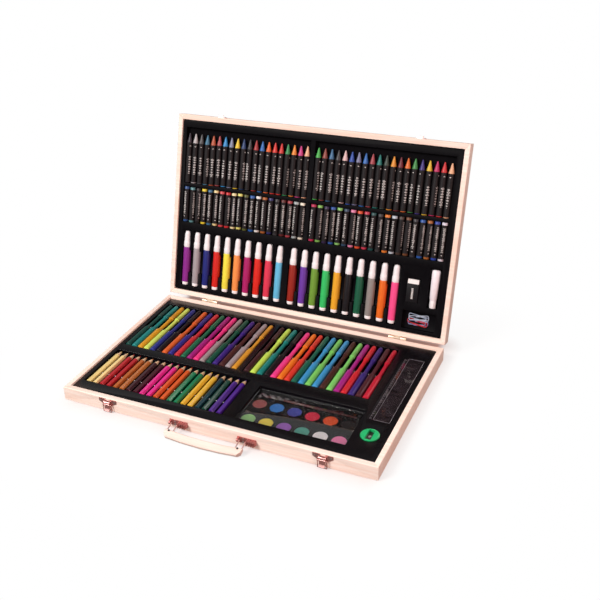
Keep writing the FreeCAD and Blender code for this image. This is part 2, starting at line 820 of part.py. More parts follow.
def palette():
    length = get("palette_length")
    width = get("palette_width")
    height = get("palette_height")
    overrun = get("overrun")
    floor = height - get("pan_depth")
    block = box(0, length, 0, width, 0, height)
    rooms = [moved(pan(get("pan_diameter"), floor, height + overrun), x, y) for x, y in pan_centres()]
    half = get("groove_width") / 2
    side = get("brush_end_gap") - get("fit_gap")
    groove_floor = height - get("brush_diameter")
    rooms.append(box(side, length - side, groove_centre() - half, groove_centre() + half,
                     groove_floor, height + overrun))
    keep("palette_box", block.cut(rooms), palette_corner())
    top = height - get("pan_sink")
    cakes = [moved(pan(get("pan_diameter") - get("fit_gap"), floor, top), x, y) for x, y in pan_centres()]
    keep("paint_cakes", Part.makeCompound(cakes), palette_corner())
    wall = get("cover_wall")
    cover = box(0, length, 0, width, height, height + get("cover_height"))
    room = box(wall, length - wall, wall, width - wall, height - overrun, height + get("cover_height") - wall)
    keep("palette_cover", cover.cut(room), palette_corner())


def brush():
    """A round brush lying along the groove, its hair to the left."""
    thick = get("brush_diameter")
    hair = get("brush_hair_length")
    ferrule = hair + get("brush_ferrule_length")
    length = get("brush_length")
    shapes = {
        "brush_hair": stick(WIRE_SIDES, [(0, get("brush_tip_diameter")), (hair / 2, thick), (hair, thick)]),
        "brush_ferrule": stick(WIRE_SIDES, [(hair, thick), (ferrule, thick)]),
        "brush_handle": stick(WIRE_SIDES, [(ferrule, thick), (length / 2, thick),
                                           (length, get("brush_tail_diameter"))])}
    lift = get("palette_height") - thick + flat_height(WIRE_SIDES, thick)
    corner = palette_corner()
    start = Vector(get("brush_end_gap"), groove_centre(), lift)
    for label, shape in shapes.items():
        keep(label, shape, corner.multiply(Placement(start, Rotation(Vector(0, 0, 1), -90))))


def ruler():
    """A ruler with a bevelled left edge."""
    body = new_body("ruler")
    section = [("0", "0"), ("sizes.ruler_width", "0"), ("sizes.ruler_width", "sizes.ruler_thickness"),
               ("sizes.ruler_bevel", "sizes.ruler_thickness"), ("0", "sizes.ruler_edge")]
    outline = draw(body, "XZ_Plane", "ruler_section", section)
    pad(body, outline, "ruler_length", "sizes.ruler_length", True)
    gap = get("pocket_gap")
    floor = get("ruler_drop") + get("ruler_thickness")
    middle = get("ruler_front") + gap + get("ruler_length") / 2
    stand(body, base_place(get("ruler_left") + gap, middle, -floor))


def sharpener_centre():
    half = get("sharpener_pocket") / 2
    return get("sharpener_left") + half, get("sharpener_front") + half


def sharpener():
    """A round sharpener: slot for the blade across the top, tapered bore from the front."""
    radius = get("sharpener_diameter") / 2
    height = get("sharpener_height")
    overrun = get("overrun")
    slot = get("sharpener_slot") / 2
    depth = get("sharpener_slot_depth")
    barrel = rod(radius, Vector(), Vector(0, 0, 1), height, DISC_SIDES)
    room = box(-slot, slot, -radius - overrun, radius + overrun, height - depth, height + overrun)
    drop = height - get("sharpener_bore_drop")
    taper = stick(BORE_SIDES, [(-radius, get("sharpener_bore")), (radius, get("sharpener_bore_end"))])
    x, y = sharpener_centre()
    floor = get("content_drop") + height
    place = base_place(x, y, -floor)
    keep("sharpener_body", barrel.cut([room, moved(taper, 0, 0, drop)]), place)
    half = get("blade_length") / 2
    seat = height - depth
    side = slot - get("fit_gap")
    hole = bore(get("screw_shank_radius"), Vector(0, 0, seat - overrun), Vector(0, 0, 1), 2 * overrun,
                NAIL_SIDES)
    blade = box(-side, side, -half, half, seat, seat + get("blade_thickness")).cut(hole)
    keep("sharpener_blade", blade, place)
    screw = nail(NAIL_SIDES, get("blade_screw_diameter") / 2, get("blade_screw_head"),
                 get("screw_shank_radius"), get("blade_thickness"))
    screw.rotate(Vector(0, 0, 0), Vector(1, 0, 0), -90)
    keep("sharpener_screw", moved(screw, 0, 0, seat + get("blade_thickness")), place)


# What lies in the lid

def crayon_floor():
    return get("content_drop") + get("crayon_diameter")


def pastel_floor():
    return get("content_drop") + get("pastel_diameter")


def marker_floor():
    return get("content_drop") + get("marker_diameter")


def marker_starts():
    """Left edges of the shares of a row that one marker takes."""
    shift = (get("marker_slot") - get("marker_pitch")) / 2
    return (get("marker_left") + shift, get("marker_right") + shift)


def lid_tray():
    wells = []
    for left in stick_row_places():
        wells.append(well(left, get("stick_pocket"), get("crayon_near"), get("crayon_depth"), crayon_floor()))
        wells.append(well(left, get("stick_pocket"), get("pastel_near"), get("pastel_depth"), pastel_floor()))
    for left in (get("marker_left"), get("marker_right")):
        for index in range(count("marker_count")):
            x = left + get("marker_pitch") * index
            wells.append(well(x, get("marker_slot"), get("marker_near"), get("marker_depth"), marker_floor()))
        trough = get("marker_near") + get("marker_trough_start")
        wells.append(well(left, get("marker_group"), trough, get("marker_trough"),
                          get("tray_sink") + get("marker_trough_depth")))
    wells.append(well(get("eraser_left"), get("eraser_pocket"), get("eraser_near"), get("eraser_depth"),
                      get("content_drop") + get("eraser_thickness")))
    wells.append(well(get("tube_left"), get("tube_pocket"), get("tube_near"), get("tube_depth"),
                      get("content_drop") + get("tube_diameter")))
    right = get("tube_left") + get("tube_pocket")
    wells.append(well(right - get("clip_recess_width"), get("clip_recess_width"), get("clip_near"),
                      get("clip_recess_length"), get("tray_sink") + get("clip_recess_depth")))
    moulded_tray("lid_tray", "lid_height", wells, [], [], lid_place)


def crayons():
    diameter = get("crayon_diameter")
    length = get("crayon_length")
    cone = length - get("crayon_cone")
    wax = stick(STICK_SIDES, [(0, diameter), (cone, diameter), (length, get("crayon_tip_diameter"))])
    y = get("crayon_near") + get("crayon_butt_gap")
    z = flat_height(STICK_SIDES, diameter) - crayon_floor()
    row = side_by_side(wax, stick_row_places(), get("stick_pitch"), count("stick_count"), y, z)
    keep("crayon_sticks", row, lid_place())


def pastels():
    diameter = get("pastel_diameter")
    length = get("pastel_length")
    chalk = stick(STICK_SIDES, [(0, diameter), (length, diameter)])
    y = get("pastel_near") + get("pocket_gap")
    z = flat_height(STICK_SIDES, diameter) - pastel_floor()
    row = side_by_side(chalk, stick_row_places(), get("stick_pitch"), count("stick_count"), y, z)
    keep("pastel_sticks", row, lid_place())


def markers():
    diameter = get("marker_diameter")
    plug_end = get("marker_plug")
    length = get("marker_length")
    cap_start = length - get("marker_cap_length")
    crown = length - get("marker_crown")
    shapes = {
        "marker_plugs": stick(STICK_SIDES, [(0, get("marker_plug_diameter")),
                                             (plug_end, get("marker_plug_diameter"))]),
        "marker_barrels": stick(STICK_SIDES, [(plug_end, diameter), (cap_start, diameter)]),
        "marker_caps": stick(STICK_SIDES, [(cap_start, diameter), (crown, diameter),
                                            (length, get("marker_crown_diameter"))])}
    y = get("marker_near") + get("marker_end_gap")
    z = flat_height(STICK_SIDES, diameter) - marker_floor()
    for label, shape in shapes.items():
        row = side_by_side(shape, marker_starts(), get("marker_pitch"), count("marker_count"), y, z)
        keep(label, row, lid_place())


def eraser():
    width = get("eraser_width")
    length = get("eraser_length")
    thick = get("eraser_thickness")
    wall = get("eraser_sleeve")
    bare = get("eraser_bare")
    gap = get("pocket_gap")
    floor = get("content_drop") + thick
    place = lid_place(get("eraser_left") + gap, get("eraser_near") + gap, -floor)
    block = box(wall, width - wall, 0, length, wall, thick - wall)
    keep("eraser", block.makeChamfer(wall, block.Edges), place)
    cover = box(0, width, 0, length - bare, 0, thick)
    keep("eraser_sleeve", cover.cut(box(wall, width - wall, -get("overrun"), length, wall, thick - wall)), place)


def glue_tube():
    """A tube whose round shoulder narrows to a flat crimped end."""
    radius = get("tube_diameter") / 2
    cap = get("tube_cap_length")
    length = get("tube_length")
    crimp = get("tube_crimp_thickness") / 2
    half = get("tube_crimp_width") / 2
    shoulder = cap + radius / 2
    body = stick(PAN_SIDES, [(cap, get("tube_cap_diameter")), (shoulder, get("tube_diameter")),
                             (length, get("tube_diameter"))])
    wedge = [Vector(-half, shoulder, -radius), Vector(-half, length, -crimp), Vector(-half, length, crimp),
             Vector(-half, shoulder, radius)]
    body = body.common(flat_face(wedge).extrude(Vector(2 * half, 0, 0)).fuse(
        box(-half, half, cap, shoulder, -radius, radius)))
    flat = box(-half, half, length - 2 * crimp, length, -crimp, crimp)
    body = body.fuse(flat)
    lid = stick(PAN_SIDES, [(0, get("tube_cap_diameter")), (cap, get("tube_cap_diameter"))])
    x = get("tube_left") + get("tube_pocket") / 2
    y = get("tube_near") + get("pocket_gap")
    z = flat_height(PAN_SIDES, get("tube_diameter")) - get("content_drop") - get("tube_diameter")
    keep("glue_tube", body, lid_place(x, y, z))
    keep("glue_tube_cap", lid, lid_place(x, y, z))


def paper_clips():
    """Wire clips lying flat and side by side on the recess's floor."""
    wire = get("clip_wire")
    length = get("clip_length")
    width = get("clip_width")
    spine = [Vector(length * along, width * across, 0) for along, across in CLIP_SHARES]
    clip = bent_wire(spine, wire / 2)
    right = get("tube_left") + get("tube_pocket")
    left = right - get("clip_recess_width") / 2 - length / 2
    row = (count("clip_count") - 1) * get("clip_pitch") + width
    near = get("clip_near") + (get("clip_recess_length") - row) / 2
    floor = get("tray_sink") + get("clip_recess_depth")
    clips = [moved(clip, left, near + get("clip_pitch") * index, wire / 2 - floor)
             for index in range(count("clip_count"))]
    keep("paper_clips", Part.makeCompound(clips), lid_place())


# Faces that the fittings sit on: x along the face, -y outwards, z up from the rim

def front_face():
    return turned(base_place, get("case_length") / 2, 0, 0)


def back_face():
    return turned(base_place, get("case_length") / 2, get("case_depth"), 180)


def lid_hinge_face():
    return turned(lid_place, get("case_length") / 2, 0, 0)


def lid_far_face():
    return turned(lid_place, get("case_length") / 2, get("case_depth"), 180)


def pair(name, mirror=False):
    """The two places along a face of a fitting that comes in pairs."""
    sign = -1 if mirror else 1
    half = get(name + "_spacing") / 2
    return [sign * (get(name + "_shift") - half), sign * (get(name + "_shift") + half)]


def pair_texts(name, inner, mirror=False):
    """The same places as expressions, each with two holes a spacing apart."""
    sign = "-" if mirror else ""
    texts = []
    for side in ("-", "+"):
        for hand in ("-", "+"):
            centre = "sizes.%s_shift %s layout.%s_spacing / 2" % (name, side, name)
            texts.append("%s(%s %s sizes.%s / 2)" % (sign, centre, hand, inner))
    return texts


def fasteners(label, face, spots, head_radius):
    """Nails or screws at (x, y of the seat, height) places of a face."""
    one = nail(NAIL_SIDES, head_radius, get("screw_head"), get("screw_shank_radius"), get("screw_length"))
    keep(label, Part.makeCompound([moved(one, x, y, z) for x, y, z in spots]), face)


def nail_holes(spots, depth):
    return [bore(get("screw_shank_radius"), Vector(x, -depth, z), Vector(0, 1, 0), 2 * depth, NAIL_SIDES)
            for x, z in spots]


def lug(x0, x1, radius, y, z, end_shape=rod):
    """A round-ended lug that stands out from the face, its eye at (y, z)."""
    end = end_shape(radius, Vector(x0, y, z), Vector(1, 0, 0), x1 - x0)
    return end.fuse(box(x0, x1, y, 0, z - radius, z + radius))


# Hinges

def hinge_leaf(spans, others, screw_side):
    """A leaf below its rim with knuckles over the spans given, cleared for the other leaf's."""
    half = get("hinge_length") / 2
    radius = get("hinge_knuckle_radius")
    gap = get("fit_gap")
    rim = get("closing_gap") / 2
    out = get("hinge_out")
    inner, outer = sorted((screw_side * out, screw_side * (out - get("hinge_leaf"))))
    leaf = box(-half, half, inner, outer, -rim - get("hinge_leaf_height"), -rim)
    leaf = leaf.multiFuse([rod(radius, Vector(x0, 0, 0), Vector(1, 0, 0), x1 - x0) for x0, x1 in spans])
    rooms = [bore(radius + gap, Vector(x0 - gap / 2, 0, 0), Vector(1, 0, 0), x1 - x0 + gap, KNUCKLE_SIDES)
             for x0, x1 in others]
    eye = bore(get("hinge_pin_radius"), Vector(-2 * half, 0, 0), Vector(1, 0, 0), 4 * half)
    spots = [(side * get("hinge_screw_spacing") / 2, -rim - get("hinge_screw_drop")) for side in (-1, 1)]
    return leaf.cut(rooms + [eye] + nail_holes(spots, 2 * out))


def hinges():
    half = get("hinge_length") / 2
    third = get("hinge_length") / 3
    gap = get("fit_gap") / 2
    ends = [(-half, -half + third - gap), (half - third + gap, half)]
    middle = [(-half + third + gap, half - third - gap)]
    line = Placement(hinge_line(), Rotation())
    lid_line = Placement(hinge_line(), lid_place().Rotation)
    base_leaf = hinge_leaf(ends, middle, -1)
    lid_leaf = hinge_leaf(middle, ends, 1)
    spindle = pin(get("hinge_pin_radius"), Vector(-half, 0, 0), Vector(1, 0, 0), 2 * half)
    for label, shape, place in (("hinge_leaves_base", base_leaf, line), ("hinge_pins", spindle, line),
                                ("hinge_leaves_lid", lid_leaf, lid_line)):
        keep(label, Part.makeCompound([moved(shape, x) for x in pair("hinge")]), place)
    for label, face, mirror in (("hinge_screws_base", back_face(), True),
                                ("hinge_screws_lid", lid_hinge_face(), False)):
        spots = [(x + side * get("hinge_screw_spacing") / 2, -get("hinge_leaf"), -get("hinge_screw_drop"))
                 for x in pair("hinge", mirror) for side in (-1, 1)]
        fasteners(label, face, spots, get("screw_head_radius"))


# Front latches

def loop_length():
    """Long enough for the loop's crossbar to drop into the strike's hook when the lid is shut."""
    above = get("closing_gap") + get("strike_rim_gap") + get("latch_sheet") + get("loop_wire_radius")
    return get("latch_pin_drop") + get("loop_drop") + above


def latch_plate():
    half = get("latch_plate_width") / 2
    foot = get("loop_span") / 2
    top = -get("latch_plate_drop")
    low = top - get("latch_plate_height")
    ear = (top + low) / 2
    sheet = get("latch_sheet")
    corners = [(-half, top), (half, top), (half, ear), (foot, low), (-foot, low), (-half, ear)]
    points = [Vector(x, 0, z) for x, z in corners]
    plate = Part.Face(Part.makePolygon(points + points[:1])).extrude(Vector(0, -sheet, 0))
    window = get("latch_window") / 2
    notch = box(-window, window, -2 * sheet, sheet, top - get("latch_window_height"), top + sheet)
    inside = get("lever_width") / 2 + get("rest_gap")
    outside = inside + get("latch_lug_sheet")
    eye = (-get("latch_pin_out"), -get("latch_pin_drop"))
    lugs = [lug(inside, outside, get("latch_lug_radius"), *eye),
            lug(-outside, -inside, get("latch_lug_radius"), *eye)]
    through = bore(get("latch_pin_radius"), Vector(-half, *eye), Vector(1, 0, 0), 2 * half)
    spots = [(side * get("latch_nail_spacing") / 2, -get("latch_nail_drop")) for side in (-1, 1)]
    return plate.cut(notch).multiFuse(lugs).cut([through] + nail_holes(spots, get("wood")))


def lever():
    """A sheet lever that hangs from the plate's pin, with an eye for the loop and a curled foot."""
    half = get("lever_width") / 2
    sheet = get("latch_sheet") / 2
    y = -get("latch_pin_out")
    top = -get("latch_pin_drop")
    foot = top - get("lever_length")
    bend = foot + get("lever_curl_length")
    curl = y - get("lever_curl")
    profile = [(y + sheet, top), (y + sheet, bend), (curl + sheet, foot), (curl - sheet, foot),
               (y - sheet, bend), (y - sheet, top)]
    points = [Vector(-half, across, up) for across, up in profile]
    blade = Part.Face(Part.makePolygon(points + points[:1])).extrude(Vector(2 * half, 0, 0))
    eye = top - get("loop_drop")
    knuckles = [rod(get("latch_knuckle_radius"), Vector(-half, y, top), Vector(1, 0, 0), 2 * half),
                pin(get("loop_knuckle_radius"), Vector(-half, y, eye), Vector(1, 0, 0), 2 * half)]
    bores = [bore(get("latch_pin_radius"), Vector(-2 * half, y, top), Vector(1, 0, 0), 4 * half),
             bore(get("loop_wire_radius"), Vector(-2 * half, y, eye), Vector(1, 0, 0), 4 * half)]
    return blade.multiFuse(knuckles).cut(bores)


def loop():
    half = get("loop_span") / 2
    y = -get("latch_pin_out")
    top = -get("latch_pin_drop") - get("loop_drop")
    low = top - loop_length()
    stub = get("lever_width") / 4
    corners = [(-stub, top), (-half, top), (-half, low), (half, low), (half, top), (stub, top)]
    return bent_wire([Vector(x, y, z) for x, z in corners], get("loop_wire_radius"))


def strike():
    """A keeper on the lid: a plate whose lower edge turns out and up into a hook."""
    half = get("strike_width") / 2
    hook = get("strike_hook_width") / 2
    sheet = get("latch_sheet")
    out = get("strike_hook_out")
    rim = -get("strike_rim_gap")
    plate = box(-half, half, -sheet, 0, rim - get("strike_height"), rim)
    tongue = box(-hook, hook, -out, 0, rim - sheet, rim)
    lip = box(-hook, hook, -out, sheet - out, rim - get("strike_hook_lip"), rim)
    spots = [(side * get("strike_nail_spacing") / 2, -get("strike_nail_drop")) for side in (-1, 1)]
    return plate.multiFuse([tongue, lip]).cut(nail_holes(spots, get("wood")))


def latches():
    face = front_face()
    reach = get("lever_width") / 2 + get("rest_gap") + get("latch_lug_sheet") + get("fit_gap")
    spindle = pin(get("latch_pin_radius"), Vector(-reach, -get("latch_pin_out"), -get("latch_pin_drop")),
                  Vector(1, 0, 0), 2 * reach)
    for label, shape in (("latch_plates", latch_plate()), ("latch_pins", spindle)):
        keep(label, Part.makeCompound([moved(shape, x) for x in pair("latch")]), face)
    for side, x in zip(("left", "right"), pair("latch")):
        keep("latch_lever_" + side, moved(lever(), x), face)
        keep("latch_loop_" + side, moved(loop(), x), face)
    strikes = Part.makeCompound([moved(strike(), x) for x in pair("latch", True)])
    keep("latch_strikes", strikes, lid_far_face())
    spots = [(x + side * get("strike_nail_spacing") / 2, -get("latch_sheet"), -get("strike_nail_drop"))
             for x in pair("latch", True) for side in (-1, 1)]
    fasteners("strike_nails", lid_far_face(), spots, get("bracket_nail_radius"))


# Carrying handle

def bail_places():
    half = get("handle_bail_spacing") / 2
    return [get("handle_shift") - half, get("handle_shift") + half]


def bracket():
    """A plate behind each bail, with a ring on its left and a ribbed clip on its right."""
    near = get("handle_bail_span") / 2 + get("handle_wire_radius") + get("bracket_side_gap")
    far = near + get("bracket_ring_width")
    end = near + get("bracket_clip_length")
    half = get("bracket_height") / 2
    sheet = get("bracket_sheet")
    y = -get("handle_pivot_out")
    z = -get("handle_pivot_drop")
    radius = get("bracket_knuckle_radius")
    plate = box(-far, end, -sheet, 0, z - half, z + half)
    ring_lug = lug(-far, -near, radius, y, z, pin)
    clip = box(near, end, y - radius, 0, z - radius, z + radius)
    pitch = get("bracket_clip_length") / get("bracket_rib_count")
    rise = get("bracket_rib_height")
    ribs = [box(near + pitch * index, near + pitch * (index + 0.5), y - radius - rise, 0,
                z - radius - rise, z + radius + rise) for index in range(count("bracket_rib_count"))]
    eye = bore(get("handle_wire_radius"), Vector(-2 * far, y, z), Vector(1, 0, 0),
               2 * far + near + get("bracket_stub"))
    holes = nail_holes([(0, z - half / 2), (0, z + half / 2)], get("wood"))
    return plate.multiFuse([ring_lug, clip] + ribs).cut([eye] + holes)


def handle_tilt():
    """How far the handle hangs below level when its bar lies on the table."""
    reach = get("handle_arm") + get("handle_bar_width") + get("handle_bow") - get("handle_chamfer")
    half = get("handle_bar_thickness") / 2
    height = get("base_height") - get("handle_pivot_drop") - get("rest_gap")
    return math.degrees(math.asin(height / math.hypot(reach, half)) - math.atan(half / reach))


def bail_points():
    half = get("handle_bail_span") / 2
    stub = half + get("handle_wire_radius") + get("bracket_side_gap") + get("bracket_ring_width")
    low = -get("handle_arm") - get("handle_wire_seat")
    corners = [(-stub, 0), (-half, 0), (-half, low), (half, low), (half, 0), (stub, 0)]
    return [Vector(x, y, 0) for x, y in corners]


def handle_bar():
    """A bowed wooden bar, drilled for the bails and their screws."""
    half = get("handle_length") / 2
    near = -get("handle_arm")
    far = near - get("handle_bar_width")
    bow = get("handle_bow")
    thick = get("handle_bar_thickness")
    lift = -thick / 2
    corner = get("handle_corner")
    end = 1 - corner / half
    outline = [Vector(share * half, near - bow * (1 - share * share), lift)
               for share in (-1,) + BOW_SHARES + (1,)]
    outline.append(Vector(half, far + corner, lift))
    outline += [Vector(share * half, far - bow * (1 - share * share), lift)
                for share in (end,) + BOW_SHARES[::-1] + (-end,)]
    outline.append(Vector(-half, far + corner, lift))
    block = flat_face(outline).extrude(Vector(0, 0, thick))
    long_edges = [edge for edge in block.Edges if edge.Length > 2 * corner]
    block = block.makeChamfer(get("handle_chamfer"), long_edges)
    x0 = get("handle_shift")
    room = get("handle_wire_radius") + get("pin_gap")
    cavity = bent_wire(bail_points(), room)
    rooms = [moved(cavity, x - x0) for x in bail_places()]
    seat = near - get("handle_wire_seat") / 2
    depth = get("screw_length") - get("screw_head")
    rooms += [bore(get("screw_shank_radius"), Vector(x - x0, seat, thick / 2 - depth), Vector(0, 0, 1),
                   2 * depth, NAIL_SIDES) for x in bail_places()]
    return block.cut(rooms)


def handle():
    pivot = Vector(get("handle_shift"), -get("handle_pivot_out"), -get("handle_pivot_drop"))
    place = front_face().multiply(Placement(pivot, Rotation(Vector(1, 0, 0), handle_tilt())))
    keep("handle_bar", handle_bar(), place)
    wire = bent_wire(bail_points(), get("handle_wire_radius"))
    x0 = get("handle_shift")
    keep("handle_bails", Part.makeCompound([moved(wire, x - x0) for x in bail_places()]), place)
    seat = -get("handle_arm") - get("handle_wire_seat") / 2
    top = get("handle_bar_thickness") / 2
    screw = nail(NAIL_SIDES, get("bar_screw_radius"), get("bar_screw_head"), get("screw_shank_radius"),
                 get("screw_length") - 2 * get("screw_head"))
    screw.rotate(Vector(0, 0, 0), Vector(1, 0, 0), -90)
    screws = [moved(screw, x - x0, seat, top) for x in bail_places()]
    keep("handle_bar_screws", Part.makeCompound(screws), place)
    brackets = Part.makeCompound([moved(bracket(), x) for x in bail_places()])
    keep("handle_brackets", brackets, front_face())
    z = -get("handle_pivot_drop")
    half = get("bracket_height") / 4
    spots = [(x, -get("bracket_sheet"), z + side * half) for x in bail_places() for side in (-1, 1)]
    spots += [(x + side * get("latch_nail_spacing") / 2, -get("latch_sheet"), -get("latch_nail_drop"))
              for x in pair("latch") for side in (-1, 1)]
    fasteners("front_nails", front_face(), spots, get("bracket_nail_radius"))


def front_rail_holes():
    bails = ["sizes.handle_shift - sizes.handle_bail_spacing / 2",
             "sizes.handle_shift + sizes.handle_bail_spacing / 2"]
    holes = [(text, "sizes.latch_nail_drop") for text in pair_texts("latch", "latch_nail_spacing")]
    for bail in bails:
        for side in ("-", "+"):
            holes.append((bail, "sizes.handle_pivot_drop %s sizes.bracket_height / 4" % side))
    return holes


def wooden_case():
    hinge_base = [(text, "sizes.hinge_screw_drop")
                  for text in pair_texts("hinge", "hinge_screw_spacing", True)]
    hinge_lid = [(text, "sizes.hinge_screw_drop") for text in pair_texts("hinge", "hinge_screw_spacing")]
    strikes = [(text, "sizes.strike_nail_drop")
               for text in pair_texts("latch", "strike_nail_spacing", True)]
    frame_of_rails("base", base_place, "layout.base_height", front_rail_holes(), hinge_base)
    frame_of_rails("lid", lid_place, "layout.lid_height", hinge_lid, strikes)
    case_panel("base_panel", "base_height", base_place)
    case_panel("lid_panel", "lid_height", lid_place)


def check_and_export():
    """Every object must be sound before anything is written."""
    doc.recompute()
    for obj in doc.Objects:
        if "Invalid" in obj.State or "Error" in obj.State:
            raise RuntimeError("object failed: " + obj.Label)
    for piece in pieces:
        if piece.Shape.isNull() or not piece.Shape.isValid() or not piece.Shape.Solids:
            raise RuntimeError("sub-part has no sound shape: " + piece.Label)
    os.makedirs("parts", exist_ok=True)
    for piece in pieces:
        piece.Shape.exportStep("parts/" + piece.Label + ".step")


wooden_case()
base_tray()
fibre_pens()
pencils()
palette()
brush()
ruler()
sharpener()
lid_tray()
crayons()
pastels()
markers()
eraser()
glue_tube()
paper_clips()
hinges()
latches()
handle()
check_and_export()
print("sub-parts:", len(pieces), " case:", get("case_length"), "x", get("case_depth"))
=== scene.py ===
import math
import random

import bpy
from mathutils import Matrix, Vector


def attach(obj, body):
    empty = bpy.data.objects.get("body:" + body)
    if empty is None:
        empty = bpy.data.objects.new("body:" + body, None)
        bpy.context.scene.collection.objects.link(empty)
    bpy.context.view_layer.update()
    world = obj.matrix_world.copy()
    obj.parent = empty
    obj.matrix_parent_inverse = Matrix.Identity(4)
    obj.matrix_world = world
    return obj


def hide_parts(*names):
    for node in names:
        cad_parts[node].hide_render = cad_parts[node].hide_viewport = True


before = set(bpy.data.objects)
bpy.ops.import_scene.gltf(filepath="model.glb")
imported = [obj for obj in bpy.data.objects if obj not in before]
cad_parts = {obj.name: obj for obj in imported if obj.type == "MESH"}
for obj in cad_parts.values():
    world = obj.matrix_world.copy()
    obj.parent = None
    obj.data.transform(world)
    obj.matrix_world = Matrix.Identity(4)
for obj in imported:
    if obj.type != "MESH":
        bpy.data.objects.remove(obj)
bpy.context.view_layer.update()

# Places in the base and in the lid are in millimetres from the left front corner of the rim,
# which for the lid is its corner at the hinge.
MM = 0.001
LID_OPEN = math.radians(74)
BASE_RIM = Matrix.Translation((-0.2175, -0.136, 0.020))
LID_RIM = (Matrix.Translation((0, 0.1385, 0.02015)) @ Matrix.Rotation(LID_OPEN, 4, "X")
           @ Matrix.Translation((-0.2175, 0.0025, -0.00015)))
RIMS = {"base": BASE_RIM, "lid": LID_RIM}
QUARTER_TURN = math.radians(90)
UPRIGHT = Matrix.Rotation(QUARTER_TURN, 4, "X")

# Rows of sticks side by side: where each row starts, the pitch of its sticks and their number
PEN_ROWS = ((13.5, 200.04), 9.93, 18)
PENCIL_ROWS = ((14.8,), 10.26, 20)
CRAYON_ROWS = ((13.5, 219.45), 9.95, 20)
MARKER_ROWS = ((14.71, 191.43), 17.18, 10)

# Height in metres of the flat top of the tray in the base
TRAY_TOP = 0.0175
# The paint cakes' first middle and pitch, a twelfth and a sixth of the palette's 145 mm
FIRST_CAKE = 251.083
CAKE_PITCH = 24.1667

# The hands are steady, but no two sticks lie quite alike
hand = random.Random(19)


# Workshop helpers

def linear(code):
    """An sRGB hex colour as linear red, green, blue and alpha."""
    shares = [int(code[place:place + 2], 16) / 255 for place in (1, 3, 5)]
    return [share / 12.92 if share <= 0.04045 else ((share + 0.055) / 1.055) ** 2.4
            for share in shares] + [1.0]


def at(x, y, z):
    """A shift given in millimetres."""
    return Matrix.Translation((x * MM, y * MM, z * MM))


def add(tree, kind, inputs=None, **settings):
    """A shader node with its settings, its fixed inputs and its links."""
    node = tree.nodes.new(kind)
    for name, value in settings.items():
        setattr(node, name, value)
    for name, value in (inputs or {}).items():
        if isinstance(value, bpy.types.NodeSocket):
            tree.links.new(value, node.inputs[name])
        else:
            node.inputs[name].default_value = value
    return node


def blank(name):
    """A new material with nothing in it but its output."""
    material = bpy.data.materials.new(name)
    material.use_nodes = True
    material.node_tree.nodes.clear()
    return material, material.node_tree, add(material.node_tree, "ShaderNodeOutputMaterial")


def clear_hands():
    """Put everything down."""
    if bpy.context.object and bpy.context.object.mode != "OBJECT":
        bpy.ops.object.mode_set(mode="OBJECT")
    bpy.ops.object.select_all(action="DESELECT")


def take(piece):
    """Pick up one piece alone."""
    clear_hands()
    piece.select_set(True)
    bpy.context.view_layer.objects.active = piece


def open_mesh(piece):
    """Start to edit one piece, with nothing on it chosen."""
    take(piece)
    bpy.ops.object.mode_set(mode="EDIT")
    bpy.ops.mesh.select_all(action="DESELECT")


def choose(piece, kind, test):
    """Choose the faces or points that pass a test of their place and normal."""
    bpy.ops.object.mode_set(mode="OBJECT")
    mesh = piece.data
    for point in mesh.vertices:
        point.select = kind == "VERT" and test(point.co, point.normal)
    for edge in mesh.edges:
        edge.select = False
    for face in mesh.polygons:
        face.select = kind == "FACE" and test(face.center, face.normal)
    bpy.ops.object.mode_set(mode="EDIT")
    bpy.ops.mesh.select_mode(type=kind)


def close_mesh(piece, angle=40):
    """Turn every face outwards, leave edit mode and smooth the shallow edges."""
    bpy.ops.mesh.select_all(action="SELECT")
    bpy.ops.mesh.remove_doubles(threshold=0.000001)
    bpy.ops.mesh.normals_make_consistent(inside=False)
    bpy.ops.object.mode_set(mode="OBJECT")
    bpy.ops.object.shade_smooth_by_angle(angle=math.radians(angle))
    return piece


def set_down(piece, place):
    """Move a piece to its place, which then lies in its mesh."""
    take(piece)
    piece.matrix_world = place @ piece.matrix_world
    bpy.ops.object.transform_apply(location=True, rotation=True, scale=True)
    return piece


def round_edges(piece, width, segments=2, angle=30):
    """Round over the sharp edges of a piece by a width in millimetres."""
    take(piece)
    tool = piece.modifiers.new("rounding", "BEVEL")
    tool.width = width * MM
    tool.segments = segments
    tool.limit_method = "ANGLE"
    tool.angle_limit = math.radians(angle)
    bpy.ops.object.modifier_apply(modifier=tool.name)
    bpy.ops.object.shade_smooth_by_angle(angle=math.radians(angle))
    return piece


def hand_over(piece, body, slot, material, *nodes):
    """Finish a piece: its material, its body and the plain solids that it stands for. The slot is not
    used.
    """
    piece.data.materials.clear()
    piece.data.materials.append(material)
    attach(piece, body)
    if nodes:
        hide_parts(*nodes)
    return piece


def eased(node, width, segments=2, angle=30):
    """A merged copy of a plain solid with its edges rounded as its real maker would leave them."""
    piece = bpy.data.objects.new(node + "_eased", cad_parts[node].data.copy())
    bpy.context.scene.collection.objects.link(piece)
    open_mesh(piece)
    bpy.ops.mesh.select_all(action="SELECT")
    bpy.ops.mesh.remove_doubles(threshold=0.000005)
    bpy.ops.mesh.dissolve_limited(angle_limit=math.radians(0.5))
    bpy.ops.object.mode_set(mode="OBJECT")
    return round_edges(piece, width, segments, angle)


def disc(name, sides, diameter, place):
    """A flat disc across Y, being edited and all of it chosen."""
    clear_hands()
    bpy.ops.mesh.primitive_circle_add(
        vertices=sides, radius=diameter / 2 * MM, fill_type="NGON",
        location=(0, place * MM, 0), rotation=(QUARTER_TURN, 0, 0))
    piece = bpy.context.object
    piece.name = name
    bpy.ops.object.transform_apply(location=True, rotation=True, scale=True)
    bpy.ops.object.mode_set(mode="EDIT")
    bpy.ops.mesh.select_all(action="SELECT")
    return piece


